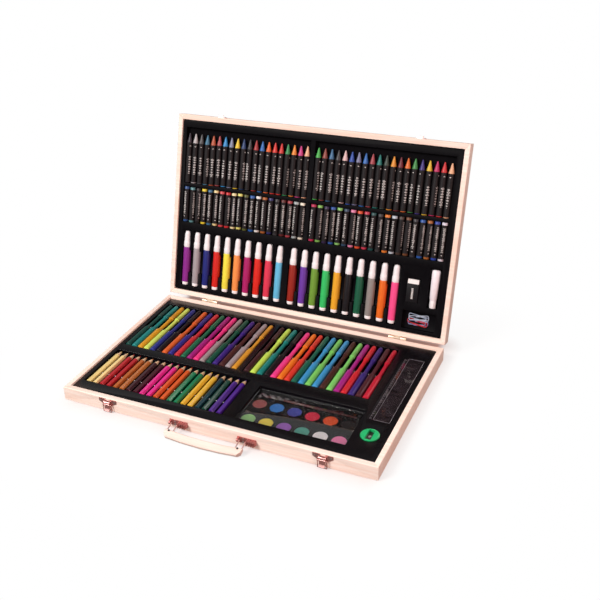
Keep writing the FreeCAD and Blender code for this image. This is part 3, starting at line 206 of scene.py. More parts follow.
def turned(name, sides, stations):
    """A round piece along Y, drawn out ring by ring through (place, diameter) stations."""
    piece = disc(name, sides, stations[0][1], stations[0][0])
    for here, there in zip(stations, stations[1:]):
        bpy.ops.mesh.extrude_region_move(
            TRANSFORM_OT_translate={"value": (0, (there[0] - here[0]) * MM, 0)})
        share = there[1] / here[1]
        bpy.ops.transform.resize(value=(share, 1, share), center_override=(0, there[0] * MM, 0))
    return close_mesh(piece)


def tube(name, sides, outer, inner, start, length):
    """A short sleeve along Y with a wall, open at both ends."""
    piece = disc(name, sides, outer, start)
    bpy.ops.mesh.inset(thickness=(outer - inner) / 2 * MM, use_even_offset=True)
    bpy.ops.mesh.delete(type="FACE")
    bpy.ops.mesh.select_all(action="SELECT")
    bpy.ops.mesh.extrude_region_move(TRANSFORM_OT_translate={"value": (0, length * MM, 0)})
    return close_mesh(piece)


def bar(name, size, place, edge=0.1):
    """A straight strip, its size and middle in millimetres, with its edges rounded."""
    clear_hands()
    bpy.ops.mesh.primitive_cube_add(size=1, location=[share * MM for share in place],
                                    scale=[share * MM for share in size])
    piece = bpy.context.object
    piece.name = name
    bpy.ops.object.transform_apply(location=True, rotation=True, scale=True)
    return round_edges(piece, edge, 1)


def mark_own_place(piece):
    """Remember each point's place on the piece itself, for patterns that follow it."""
    mesh = piece.data
    own = mesh.attributes.new("own_place", "FLOAT_VECTOR", "POINT")
    own.data.foreach_set("vector", [share for point in mesh.vertices for share in point.co])


def dye(mesh, code):
    """Give every point of a mesh the same colour."""
    tint = mesh.attributes.get("dye") or mesh.attributes.new("dye", "FLOAT_COLOR", "POINT")
    tint.data.foreach_set("color", linear(code) * len(mesh.vertices))


def lay_out(model, places, codes=None):
    """Copies of a model at each place, dyed if colours are given, gathered into one piece."""
    if codes:
        mark_own_place(model)
    copies = []
    for index, place in enumerate(places):
        copy = bpy.data.objects.new(model.name, model.data.copy())
        bpy.context.scene.collection.objects.link(copy)
        if codes:
            dye(copy.data, codes[index])
        copies.append(set_down(copy, place))
    name = model.name
    bpy.data.objects.remove(model)
    clear_hands()
    for copy in copies:
        copy.select_set(True)
    bpy.context.view_layer.objects.active = copies[0]
    bpy.ops.object.join()
    copies[0].name = name
    return copies[0]


def row(rim, rows, y, z, roll=(-180, 180), slip=0.4):
    """Places of sticks side by side, each turned and pushed a little its own way."""
    starts, pitch, number = rows
    places = []
    for start in starts:
        for index in range(number):
            place = at(start + pitch * (index + 0.5), y + hand.uniform(-slip, slip), z)
            places.append(rim @ place @ Matrix.Rotation(math.radians(hand.uniform(*roll)), 4, "Y"))
    return places


def between(rim, rows, y, z):
    """Places between the neighbours in rows of sticks."""
    starts, pitch, number = rows
    return [rim @ at(start + pitch * index, y, z) for start in starts for index in range(1, number)]


# Camera and studio

def set_up_camera():
    """A camera where the catalogue's stood, found from the case's straight edges."""
    data = bpy.data.cameras.new("catalogue_view")
    data.lens = 53.98
    data.sensor_width = 36
    data.shift_x = 0.051
    view = bpy.data.objects.new("catalogue_view", data)
    bpy.context.scene.collection.objects.link(view)
    right = Vector((0.90508, 0.42321, -0.04144))
    up = Vector((-0.17154, 0.45255, 0.87509))
    back = right.cross(up).normalized()
    up = back.cross(right).normalized()
    view.matrix_world = Matrix((
        (right.x, up.x, back.x, 0.46793), (right.y, up.y, back.y, -0.89733),
        (right.z, up.z, back.z, 0.67840), (0, 0, 0, 1)))
    bpy.context.scene.camera = view


def soft_lamp(name, place, aim, size, watts, code):
    """A round soft box aimed at a point."""
    data = bpy.data.lights.new(name, "AREA")
    data.shape = "DISK"
    data.size = size
    data.energy = watts
    data.color = linear(code)[:3]
    lamp = bpy.data.objects.new(name, data)
    bpy.context.scene.collection.objects.link(lamp)
    lamp.location = place
    lamp.rotation_euler = (Vector(aim) - Vector(place)).to_track_quat("-Z", "Y").to_euler()


def seamless_paper():
    """White studio paper with painted shade: tinted warm and glowing less under the case, close to even
    white a hand's breadth away.
    """
    material, tree, output = blank("seamless_paper")
    path = add(tree, "ShaderNodeLightPath")
    texture = add(tree, "ShaderNodeTexCoord")
    # Paper fibre is far too fine to show, so a 30 mm drift of tone stands for it
    drift = add(tree, "ShaderNodeTexNoise", {"Vector": texture.outputs["Object"], "Scale": 33.0})
    tone = add(tree, "ShaderNodeMix", {"Factor": drift.outputs["Fac"], "A": linear("#ffffff"),
                                       "B": linear("#fcfbfa")}, data_type="RGBA")
    # Distance in metres from the case's footprint with the lid leaning out behind it
    spread = add(tree, "ShaderNodeSeparateXYZ", {0: texture.outputs["Object"]})
    behind = add(tree, "ShaderNodeMath", {0: spread.outputs["Y"], 1: 0.022}, operation="SUBTRACT")
    gaps = []
    for place, half in ((spread.outputs["X"], 0.2), (behind.outputs[0], 0.15)):
        size = add(tree, "ShaderNodeMath", {0: place}, operation="ABSOLUTE")
        past = add(tree, "ShaderNodeMath", {0: size.outputs[0], 1: half}, operation="SUBTRACT")
        gaps.append(add(tree, "ShaderNodeMath", {0: past.outputs[0], 1: 0.0}, operation="MAXIMUM"))
    squares = [add(tree, "ShaderNodeMath", {0: gap.outputs[0], 1: 2.0}, operation="POWER")
               for gap in gaps]
    away = add(tree, "ShaderNodeMath", {0: squares[0].outputs[0], 1: squares[1].outputs[0]})
    away = add(tree, "ShaderNodeMath", {0: away.outputs[0]}, operation="SQRT")
    glow_and_painted_shade_share = add(tree, "ShaderNodeValToRGB", {0: away.outputs[0]})
    ramp = glow_and_painted_shade_share.color_ramp.elements
    ramp[0].position, ramp[0].color = 0.0, (0, 0, 0, 1)
    ramp[1].position, ramp[1].color = 0.17, (1, 1, 1, 1)
    for place, share in ((0.01, 0.5), (0.035, 0.9)):
        ramp.new(place).color = (share, share, share, 1)
    # Painted shade: under the case, and fading out over a few centimetres round it, the paper is tinted
    # a warm dark pink, so that the strip seen through the hinge gap takes the warm tone of the wood
    # around it
    shade = add(tree, "ShaderNodeMix", {"Factor": glow_and_painted_shade_share.outputs["Color"], "A": linear("#c4a098"),
                                        "B": tone.outputs["Result"]}, data_type="RGBA")
    matt = add(tree, "ShaderNodeBsdfDiffuse", {"Color": shade.outputs["Result"]})
    glow = add(tree, "ShaderNodeEmission", {"Color": linear("#ffffff"),
                                            "Strength": path.outputs["Is Camera Ray"]})
    lit = add(tree, "ShaderNodeMixShader", {"Fac": glow_and_painted_shade_share.outputs["Color"], 1: matt.outputs[0],
                                            2: glow.outputs[0]})
    tree.links.new(lit.outputs[0], output.inputs["Surface"])
    return material


def set_up_studio():
    """White paper, a pale even surround and three soft boxes."""
    clear_hands()
    bpy.ops.mesh.primitive_grid_add(x_subdivisions=8, y_subdivisions=8, size=9, location=(0, 0, 0))
    floor = bpy.context.object
    floor.name = "studio_paper"
    floor.data.materials.append(seamless_paper())
    world = bpy.data.worlds.new("studio_air")
    bpy.context.scene.world = world
    world.use_nodes = True
    tree = world.node_tree
    tree.nodes.clear()
    path = add(tree, "ShaderNodeLightPath")
    strength = add(tree, "ShaderNodeMapRange", {"Value": path.outputs["Is Camera Ray"], "To Min": 0.34,
                                                "To Max": 1.0})
    sky = add(tree, "ShaderNodeBackground", {"Color": linear("#ffffff"),
                                             "Strength": strength.outputs["Result"]})
    add(tree, "ShaderNodeOutputWorld", {"Surface": sky.outputs[0]})
    soft_lamp("key_lamp", (-1.0, -1.5, 1.6), (0, 0, 0.05), 0.9, 56, "#fffaf6")
    soft_lamp("fill_lamp", (1.6, -0.9, 0.9), (0, 0, 0.08), 1.2, 16, "#ffcabd")
    soft_lamp("back_lamp", (0.7, 1.7, 1.1), (0, 0.1, 0.1), 1.2, 15, "#fff8f4")
    bpy.context.scene.view_settings.view_transform = "Standard"


# Finishes: relief is in metres, and lumps are so many to the metre, so 500 are 2 mm apart

def sanded_wood(name, turn, pale, dark):
    """Plain sawn and sanded wood: soft early wood with darker late wood lines along the piece."""
    material, tree, output = blank(name)
    texture = add(tree, "ShaderNodeTexCoord")
    # Growth lines about 3 mm apart across the grain and 60 mm long
    laid = add(tree, "ShaderNodeMapping", {"Vector": texture.outputs["Object"], "Rotation": turn,
                                           "Scale": (16.0, 330.0, 330.0)})
    lines = add(tree, "ShaderNodeTexNoise", {"Vector": laid.outputs[0], "Scale": 1.0, "Detail": 3.0,
                                             "Roughness": 0.55})
    # Flat sawn figure some 40 mm wide
    broad = add(tree, "ShaderNodeMapping", {"Vector": texture.outputs["Object"], "Rotation": turn,
                                            "Scale": (2.2, 26.0, 26.0)})
    figure = add(tree, "ShaderNodeTexNoise", {"Vector": broad.outputs[0], "Scale": 1.0, "Detail": 1.0})
    share = add(tree, "ShaderNodeMath", {0: lines.outputs["Fac"], 1: figure.outputs["Fac"]},
                operation="MULTIPLY")
    tone = add(tree, "ShaderNodeMapRange", {"Value": share.outputs[0], "From Min": 0.12,
                                            "From Max": 0.42})
    wood = add(tree, "ShaderNodeMix", {"Factor": tone.outputs["Result"], "A": linear(dark),
                                       "B": linear(pale)}, data_type="RGBA")
    relief = add(tree, "ShaderNodeBump", {"Height": lines.outputs["Fac"], "Distance": 0.00015,
                                          "Strength": 0.5})
    rough = add(tree, "ShaderNodeMapRange", {"Value": lines.outputs["Fac"], "To Min": 0.5,
                                             "To Max": 0.68})
    skin = add(tree, "ShaderNodeBsdfPrincipled", {
        "Base Color": wood.outputs["Result"], "Roughness": rough.outputs["Result"],
        "Normal": relief.outputs[0], "IOR": 1.45, "Specular IOR Level": 0.35})
    tree.links.new(skin.outputs[0], output.inputs["Surface"])
    return material


def plastic(name, code, roughness, relief, lumps, other, gloss=0.5, rim=None):
    """Moulded plastic with the faint waviness of a moulding and a drift between two near tones.

    A rim's height in metres says from where up a sheet was not drawn and so kept its gloss.
    """
    material, tree, output = blank(name)
    texture = add(tree, "ShaderNodeTexCoord")
    waves = add(tree, "ShaderNodeTexNoise", {"Vector": texture.outputs["Object"], "Scale": lumps,
                                             "Detail": 2.0})
    tone = add(tree, "ShaderNodeMix", {"Factor": waves.outputs["Fac"], "A": linear(code),
                                       "B": linear(other)}, data_type="RGBA")
    bump = add(tree, "ShaderNodeBump", {"Height": waves.outputs["Fac"], "Distance": relief,
                                        "Strength": 0.6})
    rough = add(tree, "ShaderNodeMapRange", {"Value": waves.outputs["Fac"], "To Min": roughness * 0.85,
                                             "To Max": roughness * 1.2})
    skin = add(tree, "ShaderNodeBsdfPrincipled", {
        "Base Color": tone.outputs["Result"], "Roughness": rough.outputs["Result"],
        "Normal": bump.outputs[0], "IOR": 1.5, "Specular IOR Level": gloss})
    if rim:
        height = add(tree, "ShaderNodeSeparateXYZ", {0: texture.outputs["Object"]})
        shine = add(tree, "ShaderNodeMapRange", {"Value": height.outputs["Z"], "From Min": rim - 0.0006,
                                                 "From Max": rim, "To Min": gloss, "To Max": 0.25})
        tree.links.new(shine.outputs["Result"], skin.inputs["Specular IOR Level"])
    tree.links.new(skin.outputs[0], output.inputs["Surface"])
    return material


def dyed(name, roughness, relief, lumps, gloss, deeper=0.88):
    """A stuff dyed through in each stick's own colour, a little deeper in places."""
    material, tree, output = blank(name)
    own = add(tree, "ShaderNodeAttribute", attribute_name="own_place")
    tint = add(tree, "ShaderNodeAttribute", attribute_name="dye")
    laid = add(tree, "ShaderNodeMapping", {"Vector": own.outputs["Vector"], "Scale": (1.0, 0.25, 1.0)})
    cloud = add(tree, "ShaderNodeTexNoise", {"Vector": laid.outputs[0], "Scale": lumps, "Detail": 3.0})
    depth = add(tree, "ShaderNodeMapRange", {"Value": cloud.outputs["Fac"], "From Min": 0.3,
                                             "From Max": 0.7, "To Min": deeper, "To Max": 1.0})
    shade = add(tree, "ShaderNodeVectorMath", {0: tint.outputs["Color"],
                                               "Scale": depth.outputs["Result"]}, operation="SCALE")
    bump = add(tree, "ShaderNodeBump", {"Height": cloud.outputs["Fac"], "Distance": relief,
                                        "Strength": 0.6})
    rough = add(tree, "ShaderNodeMapRange", {"Value": cloud.outputs["Fac"], "To Min": roughness * 0.8,
                                             "To Max": roughness * 1.25})
    skin = add(tree, "ShaderNodeBsdfPrincipled", {
        "Base Color": shade.outputs[0], "Roughness": rough.outputs["Result"],
        "Normal": bump.outputs[0], "IOR": 1.5, "Specular IOR Level": gloss})
    tree.links.new(skin.outputs[0], output.inputs["Surface"])
    return material


def sleeve_paper(name, pitch, reach, low, high, spot):
    """Charcoal coated paper rolled round a stick, with a chain of hollow pale lozenges and a dot.

    The lozenges' pitch and reach, the ends of their chain and the dot's place are in millimetres.
    """
    material, tree, output = blank(name)
    own = add(tree, "ShaderNodeAttribute", attribute_name="own_place")
    spread = add(tree, "ShaderNodeSeparateXYZ", {0: own.outputs["Vector"]})
    turn = add(tree, "ShaderNodeMath", {0: spread.outputs["X"], 1: spread.outputs["Z"]},
               operation="ARCTAN2")
    # Millimetres round the sleeve, from the angle and a 4 mm radius
    round_way = add(tree, "ShaderNodeMath", {0: turn.outputs[0], 1: 4.0}, operation="MULTIPLY")
    across = add(tree, "ShaderNodeMath", {0: round_way.outputs[0]}, operation="ABSOLUTE")
    # Marks are drawn out round the stick to half as long again as they are wide
    across = add(tree, "ShaderNodeMath", {0: across.outputs[0], 1: 0.6}, operation="MULTIPLY")
    along = add(tree, "ShaderNodeMath", {0: spread.outputs["Y"], 1: 1 / MM}, operation="MULTIPLY")
    cell = add(tree, "ShaderNodeMath", {0: along.outputs[0], 1: 0.0, 2: pitch}, operation="WRAP")
    # Each mark comes out in its own size, and differently on each sleeve
    number = add(tree, "ShaderNodeMath", {0: along.outputs[0], 1: cell.outputs[0]},
                 operation="SUBTRACT")
    run = add(tree, "ShaderNodeAttribute", attribute_name="dye")
    spots = add(tree, "ShaderNodeCombineXYZ", {"X": number.outputs[0], "Y": run.outputs["Fac"]})
    chance = add(tree, "ShaderNodeTexWhiteNoise", {"Vector": spots.outputs[0]})
    size = add(tree, "ShaderNodeMapRange", {"Value": chance.outputs["Value"], "To Min": reach * 0.55,
                                            "To Max": reach * 1.05})
    core_size = add(tree, "ShaderNodeMapRange", {"Value": chance.outputs["Value"],
                                                 "To Min": reach * -0.3, "To Max": reach * 0.5})
    off = add(tree, "ShaderNodeMath", {0: cell.outputs[0], 1: pitch / 2}, operation="SUBTRACT")
    off = add(tree, "ShaderNodeMath", {0: off.outputs[0]}, operation="ABSOLUTE")
    far = add(tree, "ShaderNodeMath", {0: off.outputs[0], 1: across.outputs[0]}, operation="ADD")
    within = add(tree, "ShaderNodeMath", {0: far.outputs[0], 1: size.outputs["Result"]},
                 operation="LESS_THAN")
    beyond = add(tree, "ShaderNodeMath", {0: far.outputs[0], 1: core_size.outputs["Result"]},
                 operation="GREATER_THAN")
    above = add(tree, "ShaderNodeMath", {0: along.outputs[0], 1: low}, operation="GREATER_THAN")
    below = add(tree, "ShaderNodeMath", {0: along.outputs[0], 1: high}, operation="LESS_THAN")
    chain = within
    for limit in (beyond, above, below):
        chain = add(tree, "ShaderNodeMath", {0: chain.outputs[0], 1: limit.outputs[0]},
                    operation="MULTIPLY")
    gone = add(tree, "ShaderNodeMath", {0: along.outputs[0], 1: spot}, operation="SUBTRACT")
    gone = add(tree, "ShaderNodeMath", {0: gone.outputs[0]}, operation="ABSOLUTE")
    dot = add(tree, "ShaderNodeMath", {0: gone.outputs[0], 1: across.outputs[0]}, operation="ADD")
    dot = add(tree, "ShaderNodeMath", {0: dot.outputs[0], 1: 0.8}, operation="LESS_THAN")
    marks = add(tree, "ShaderNodeMath", {0: chain.outputs[0], 1: dot.outputs[0]}, operation="MAXIMUM")
    # Ink takes unevenly, in flecks of about 0.7 mm
    flecks = add(tree, "ShaderNodeTexNoise", {"Vector": own.outputs["Vector"], "Scale": 1400.0})
    worn = add(tree, "ShaderNodeMapRange", {"Value": flecks.outputs["Fac"], "From Min": 0.35,
                                            "From Max": 0.6, "To Min": 0.45})
    ink = add(tree, "ShaderNodeMath", {0: marks.outputs[0], 1: worn.outputs["Result"]},
              operation="MULTIPLY")
    ground = add(tree, "ShaderNodeMix", {"Factor": flecks.outputs["Fac"], "A": linear("#100e10"),
                                         "B": linear("#242023")}, data_type="RGBA")
    face = add(tree, "ShaderNodeMix", {"Factor": ink.outputs[0], "A": ground.outputs["Result"],
                                       "B": linear("#d8d4d2")}, data_type="RGBA")
    bump = add(tree, "ShaderNodeBump", {"Height": flecks.outputs["Fac"], "Distance": 0.00005,
                                        "Strength": 0.5})
    skin = add(tree, "ShaderNodeBsdfPrincipled", {
        "Base Color": face.outputs["Result"], "Roughness": 0.5, "Normal": bump.outputs[0],
        "IOR": 1.45, "Specular IOR Level": 0.3})
    tree.links.new(skin.outputs[0], output.inputs["Surface"])
    return material


def bright_metal(name, code, other, roughness):
    """Pressed and plated sheet: metal whose plating varies in tone and in polish."""
    material, tree, output = blank(name)
    # Clouds in the plating about a millimetre across
    texture = add(tree, "ShaderNodeTexCoord")
    cloud = add(tree, "ShaderNodeTexNoise", {"Vector": texture.outputs["Object"], "Scale": 900.0,
                                             "Detail": 4.0})
    tone = add(tree, "ShaderNodeMix", {"Factor": cloud.outputs["Fac"], "A": linear(code),
                                       "B": linear(other)}, data_type="RGBA")
    rough = add(tree, "ShaderNodeMapRange", {"Value": cloud.outputs["Fac"], "To Min": roughness * 0.7,
                                             "To Max": roughness * 1.4})
    bump = add(tree, "ShaderNodeBump", {"Height": cloud.outputs["Fac"], "Distance": 0.00006,
                                        "Strength": 0.5})
    skin = add(tree, "ShaderNodeBsdfPrincipled", {
        "Base Color": tone.outputs["Result"], "Metallic": 1.0, "Roughness": rough.outputs["Result"],
        "Normal": bump.outputs[0]})
    tree.links.new(skin.outputs[0], output.inputs["Surface"])
    return material


def clear_plastic(name, roughness, haze=0.0):
    """Clear moulded polystyrene: seen through, with the faint ripples and haze of a thin moulding."""
    material, tree, output = blank(name)
    # Ripples about 6 mm apart, drawn out along the case
    texture = add(tree, "ShaderNodeTexCoord")
    laid = add(tree, "ShaderNodeMapping", {"Vector": texture.outputs["Object"],
                                           "Scale": (0.3, 1.0, 1.0)})
    ripple = add(tree, "ShaderNodeTexNoise", {"Vector": laid.outputs[0], "Scale": 170.0, "Detail": 2.0})
    bump = add(tree, "ShaderNodeBump", {"Height": ripple.outputs["Fac"], "Distance": 0.00002,
                                        "Strength": 0.5})
    rough = add(tree, "ShaderNodeMapRange", {"Value": ripple.outputs["Fac"], "To Min": roughness * 0.6,
                                             "To Max": roughness * 1.5})
    skin = add(tree, "ShaderNodeBsdfPrincipled", {
        "Base Color": linear("#ffffff"), "Roughness": rough.outputs["Result"],
        "Normal": bump.outputs[0], "IOR": 1.49, "Specular IOR Level": 0.3, "Transmission Weight": 1.0})
    # Fine scratches scatter a little light, more where the moulding swirls
    scatter = add(tree, "ShaderNodeBsdfDiffuse", {"Color": linear("#a8929f")})
    share = add(tree, "ShaderNodeMapRange", {"Value": ripple.outputs["Fac"], "From Min": 0.35,
                                             "From Max": 0.65, "To Min": haze * 0.4,
                                             "To Max": haze * 1.6})
    hazed = add(tree, "ShaderNodeMixShader", {"Fac": share.outputs["Result"], 1: skin.outputs[0],
                                              2: scatter.outputs[0]})
    tree.links.new(hazed.outputs[0], output.inputs["Surface"])
    return material


# Pine, sawn along each rail and sanded: pale, matt, with faint long lines that lean with the lid
PINE = ("#fcece2", "#f5d6c6")
ALONG_Y = (0, 0, QUARTER_TURN)
pine_across = sanded_wood("sanded_pine_across", (0, 0, 0), *PINE)
pine_deep = sanded_wood("sanded_pine_front_to_back", ALONG_Y, *PINE)
pine_lid = sanded_wood("sanded_pine_up_the_lid", (-LID_OPEN, 0, QUARTER_TURN), *PINE)
# Plywood peeled round the log: broad warm bands, a shade deeper than the rails
plywood = sanded_wood("rotary_cut_plywood", ALONG_Y, "#f0d6c0", "#d9b497")
# Beech, steamed and planed: an even pale pink with hardly a line
handle_beech = sanded_wood("steamed_beech", (0, 0, 0), "#f8e4da", "#f1d3c6")
# Lacquer, dipped over wood: dark maroon with a sharp shine
brush_lacquer = plastic("maroon_brush_lacquer", "#4a2226", 0.25, 0.00003, 500.0, "#5e2d2c")
# Polystyrene sheet, vacuum formed: deep black and almost dead to the light
tray_black = plastic("vacuum_formed_polystyrene", "#070609", 0.45, 0.0001, 220.0, "#0c0a0e", 0.07)
# The same sheet, its flat top left undrawn: a soft sheen at a low angle
rimmed_black = plastic("undrawn_polystyrene_rim", "#070609", 0.24, 0.0001, 220.0, "#0c0a0e", 0.07,
                       TRAY_TOP)
# The same sheet drawn thin over a ridge: black with tight highlights
ridge_black = plastic("thin_drawn_polystyrene", "#08070a", 0.16, 0.00005, 220.0, "#0e0c10", 0.5)
# Painted highlight: a pale plastic for small nubs at the ridges' ends, standing in for the glints the
# light makes there
painted_glint_white = plastic("painted_ridge_end_glints", "#cfcad0", 0.3, 0.00003, 500.0, "#b3aeb5")
# Polystyrene, injection moulded: black with a clear shine on the pans' edges
palette_black = plastic("palette_polystyrene", "#0b0a0d", 0.24, 0.00005, 300.0, "#131115", 0.25)
# Polypropylene, dyed through and moulded: strong colours under a soft waxy light
pen_stuff = dyed("moulded_polypropylene", 0.36, 0.00005, 500.0, 0.3)
# Lacquer in coats over wood: full colours with a narrow bright line on each flat
pencil_paint = dyed("pencil_lacquer", 0.2, 0.00003, 300.0, 0.6)
# Wax, pressed in a mould: cloudy colours, dull all over
wax = dyed("pressed_wax", 0.42, 0.0001, 900.0, 0.4, 0.8)
# Colour pressed with clay, in leads and paint cakes: dry and matt
core = dyed("colour_core", 0.5, 0.0001, 1500.0, 0.3)
# Cedar, cut to a point: pale tan
bare_cedar = sanded_wood("cut_pencil_wood", ALONG_Y, "#e9cba8", "#c79f78")
# Polypropylene, moulded white: milky, with wide soft highlights
cap_white = plastic("white_polypropylene", "#f2eef0", 0.38, 0.00005, 300.0, "#e6dfe3")
# Coated paper, printed and rolled: charcoal with a broken pale print
crayon_paper = sleeve_paper("crayon_sleeve_paper", 3.6, 1.7, 13, 40, 54.0)
pastel_paper = sleeve_paper("pastel_sleeve_paper", 2.7, 1.4, 12, 45, 8.0)
# Steel sheet, pressed and nickel plated, with the pink of the wood it reflects painted into its colour:
# pink, broken by dark and bright bends
latch_metal = bright_metal("nickel_plate_painted_pink", "#e2b2ad", "#c48c87", 0.42)
# Steel wire, bent and plated pale: thin lines, almost lost against the paper
wire_metal = bright_metal("pale_rose_wire", "#f4d8d4", "#e2b4ae", 0.45)
# Steel sheet, pressed and plated a deeper rose: the darkest of the fittings
bracket_metal = bright_metal("dark_rose_plate", "#dc9c98", "#b06c68", 0.5)
# Steel sheet, rolled and brass plated: pale gold glints in the hinge gap
hinge_metal = bright_metal("pale_brass_plate", "#efe2d2", "#d6bfa6", 0.5)
# Steel, turned bright: small grey glints
steel = bright_metal("bright_steel", "#d2cfcd", "#b6b2b0", 0.35)
# Steel, blued: dark dots of screws and a dull blade
dark_steel = bright_metal("blued_steel", "#6a6462", "#45403f", 0.35)
# Polystyrene, moulded clear: seen by its edges and the light that lies on it
clear = clear_plastic("clear_polystyrene", 0.04)
# The same, scuffed: a thin grey veil
scuffed_clear = clear_plastic("scuffed_clear_polystyrene", 0.06, 0.04)
# The same, for the ruler's rims and scale: pale grey painted on the rims as the highlight along the
# moulded edges, and the printed ticks: thin pale outlines
painted_rim_light_and_ticks = plastic("ruler_painted_edge_highlight_and_ticks", "#a59da6", 0.3, 0.00003, 600.0, "#6f6a72")
# Polystyrene, moulded green: flat bright colour with a rim of light
sharpener_green = plastic("green_polystyrene", "#22bb72", 0.3, 0.00005, 300.0, "#1aa562")
# Vinyl, cut from a block: chalky white
eraser_white = plastic("white_vinyl_rubber", "#f2efee", 0.6, 0.0001, 500.0, "#e9e4e2")
# Card, printed black: black, a little lighter at low angles
eraser_card = plastic("black_card", "#100f12", 0.5, 0.00005, 900.0, "#18161a", 0.2)
# Polyethylene, drawn and crimped: a cool waxy white
tube_white = plastic("white_polyethylene", "#f0e9ee", 0.42, 0.0001, 200.0, "#e2d9e0")
# Steel wire, lacquered: thin coloured lines with a bright streak
lacquered_wire = dyed("lacquered_steel_wire", 0.25, 0.00002, 400.0, 0.6)


# The wooden case

def build_case():
    for node, finish in (("base_front_rail", pine_across), ("base_back_rail", pine_across),
                         ("base_left_rail", pine_deep), ("base_right_rail", pine_deep),
                         ("lid_hinge_rail", pine_across), ("lid_far_rail", pine_across),
                         ("lid_left_rail", pine_lid), ("lid_right_rail", pine_lid)):
        body = node.split("_")[0]
        hand_over(eased(node, 0.4, 3), body, "case_wood", finish, node)
    for node in ("base_panel", "lid_panel"):
        hand_over(eased(node, 0.3), node.split("_")[0], "case_plywood", plywood, node)


# The moulded trays and the ridges that keep the sticks apart

def ridge(name, length, foot, height):
    """A soft-backed ridge along Y on the tray's floor."""
    clear_hands()
    bpy.ops.mesh.primitive_cube_add(size=1, location=(0, length / 2 * MM, height / 2 * MM),
                                    scale=(foot * MM, length * MM, height * MM))
    piece = bpy.context.object
    piece.name = name
    bpy.ops.object.transform_apply(location=True, rotation=True, scale=True)
    # The back is a quarter as wide as the foot and a little shorter
    choose(piece, "FACE", lambda place, normal: normal.z > 0.9)
    bpy.ops.transform.resize(value=(0.25, 0.96, 1), center_override=(0, length / 2 * MM, height * MM))
    close_mesh(piece)
    return round_edges(piece, 0.3, 2, 25)


def painted_ridge_glints():
    """Painted glints: a small pale nub between the sticks wherever a ridge stops at a finger trough."""
    for body, rows, y, z, wide in (("base", PEN_ROWS, 180.0, -4.6, 0.9),
                                   ("base", PENCIL_ROWS, 53.2, -5.0, 1.3),
                                   ("lid", MARKER_ROWS, 35.0, -6.0, 1.5)):
        nub = bar("%s_ridge_ends" % body, (wide, 1.1, 0.9), (0, 0, 0), 0.25)
        hand_over(lay_out(nub, between(RIMS[body], rows, y, z)), body, "tray_plastic", painted_glint_white)


def build_trays():
    # Pale nubs painted as the glints on the ridges' ends
    painted_ridge_glints()
    for node, finish in (("base_tray", rimmed_black), ("lid_tray", tray_black)):
        hand_over(eased(node, 0.45, 2), node.split("_")[0], "tray_plastic", finish, node)
    # Ridges at the rows' far ends: where they start, their length, floor, foot and height
    for name, body, rows, y, length, floor, foot, height in (
            ("pen_ridges", "base", PEN_ROWS, 213.5, 34.0, -10.0, 2.4, 3.6),
            ("pencil_ridges", "base", PENCIL_ROWS, 86.0, 22.0, -8.6, 3.0, 3.0),
            ("crayon_ridges", "lid", CRAYON_ROWS, 196.2, 31.0, -9.1, 2.4, 3.4),
            ("pastel_ridges", "lid", CRAYON_ROWS, 127.0, 23.0, -9.1, 2.4, 3.4)):
        piece = lay_out(ridge(name, length, foot, height), between(RIMS[body], rows, y, floor))
        hand_over(piece, body, "tray_plastic", ridge_black)


# Fibre pens and pencils in the base

PEN_DYES = (
    "#14463f", "#1f8583", "#d99a24", "#cfe66a", "#2a3387", "#171219", "#d9622b", "#322a86", "#c9303a",
    "#1d6a4b", "#a01d7d", "#f03a8a", "#9d8f92", "#17523f", "#3d2380", "#4b2424", "#a3979c", "#d8962c",
    "#3c1c22", "#c9e85c", "#1b827c", "#161217", "#f0408f", "#ef7b22", "#de3a2c", "#17634f", "#3d97cf",
    "#7bcf64", "#3d97cf", "#472420", "#7ed36c", "#a8238a", "#cf2430", "#382778", "#4a2028", "#c01a34")

PENCIL_DYES = (
    "#ecd58c", "#f0d694", "#b51f28", "#b01d28", "#b4622a", "#b86a2f", "#3c1520", "#421622", "#e2268f",
    "#e32c93", "#d9541f", "#d75a22", "#12784f", "#137b51", "#e5b42e", "#e8b935", "#143a45", "#164438",
    "#4a2387", "#4b248b")


def build_pens():
    barrel = turned("fibre_pens_barrels", 20, [
        (0, 7.4), (0.3, 8.3), (1.0, 8.8), (3.4, 8.8), (3.5, 8.5), (3.9, 8.5), (4.0, 8.8), (48.5, 8.8),
        (50.5, 8.4), (53.0, 6.9), (55.5, 5.7), (58.0, 5.4), (85.8, 5.4)])
    places = row(BASE_RIM, PEN_ROWS, 126.6, -5.4)
    piece = lay_out(barrel, places, PEN_DYES)
    hand_over(piece, "base", "pen_plastic", pen_stuff, "fibre_pen_barrels")
    cap = turned("fibre_pens_caps", 20, [
        (85.6, 6.9), (85.8, 7.3), (87.2, 7.5), (87.5, 7.2), (116.0, 6.8), (119.2, 6.3), (120.8, 5.2),
        (121.6, 3.7), (121.9, 1.8)])
    piece = lay_out(cap, places, PEN_DYES)
    hand_over(piece, "base", "pen_plastic", pen_stuff, "fibre_pen_caps")


def on_a_flat(place, normal):
    """Whether a point lies on the middle of one of a pencil's six flats."""
    return round(math.degrees(math.atan2(place.z, place.x)) / 30) % 2 == 0


def hexagon_stick(name):
    """A pencil's painted wood: six flats, worn round at the edges, cut back in scallops."""
    piece = turned(name, 12, [(0, 6.9), (0.5, 7.5), (67.2, 7.5)])
    open_mesh(piece)
    choose(piece, "VERT", on_a_flat)
    bpy.ops.transform.resize(value=(0.925, 1, 0.925), center_override=(0, 0, 0))
    choose(piece, "VERT", lambda place, normal: on_a_flat(place, normal) and place.y > 60 * MM)
    bpy.ops.transform.translate(value=(0, 1.6 * MM, 0))
    return close_mesh(piece, 20)


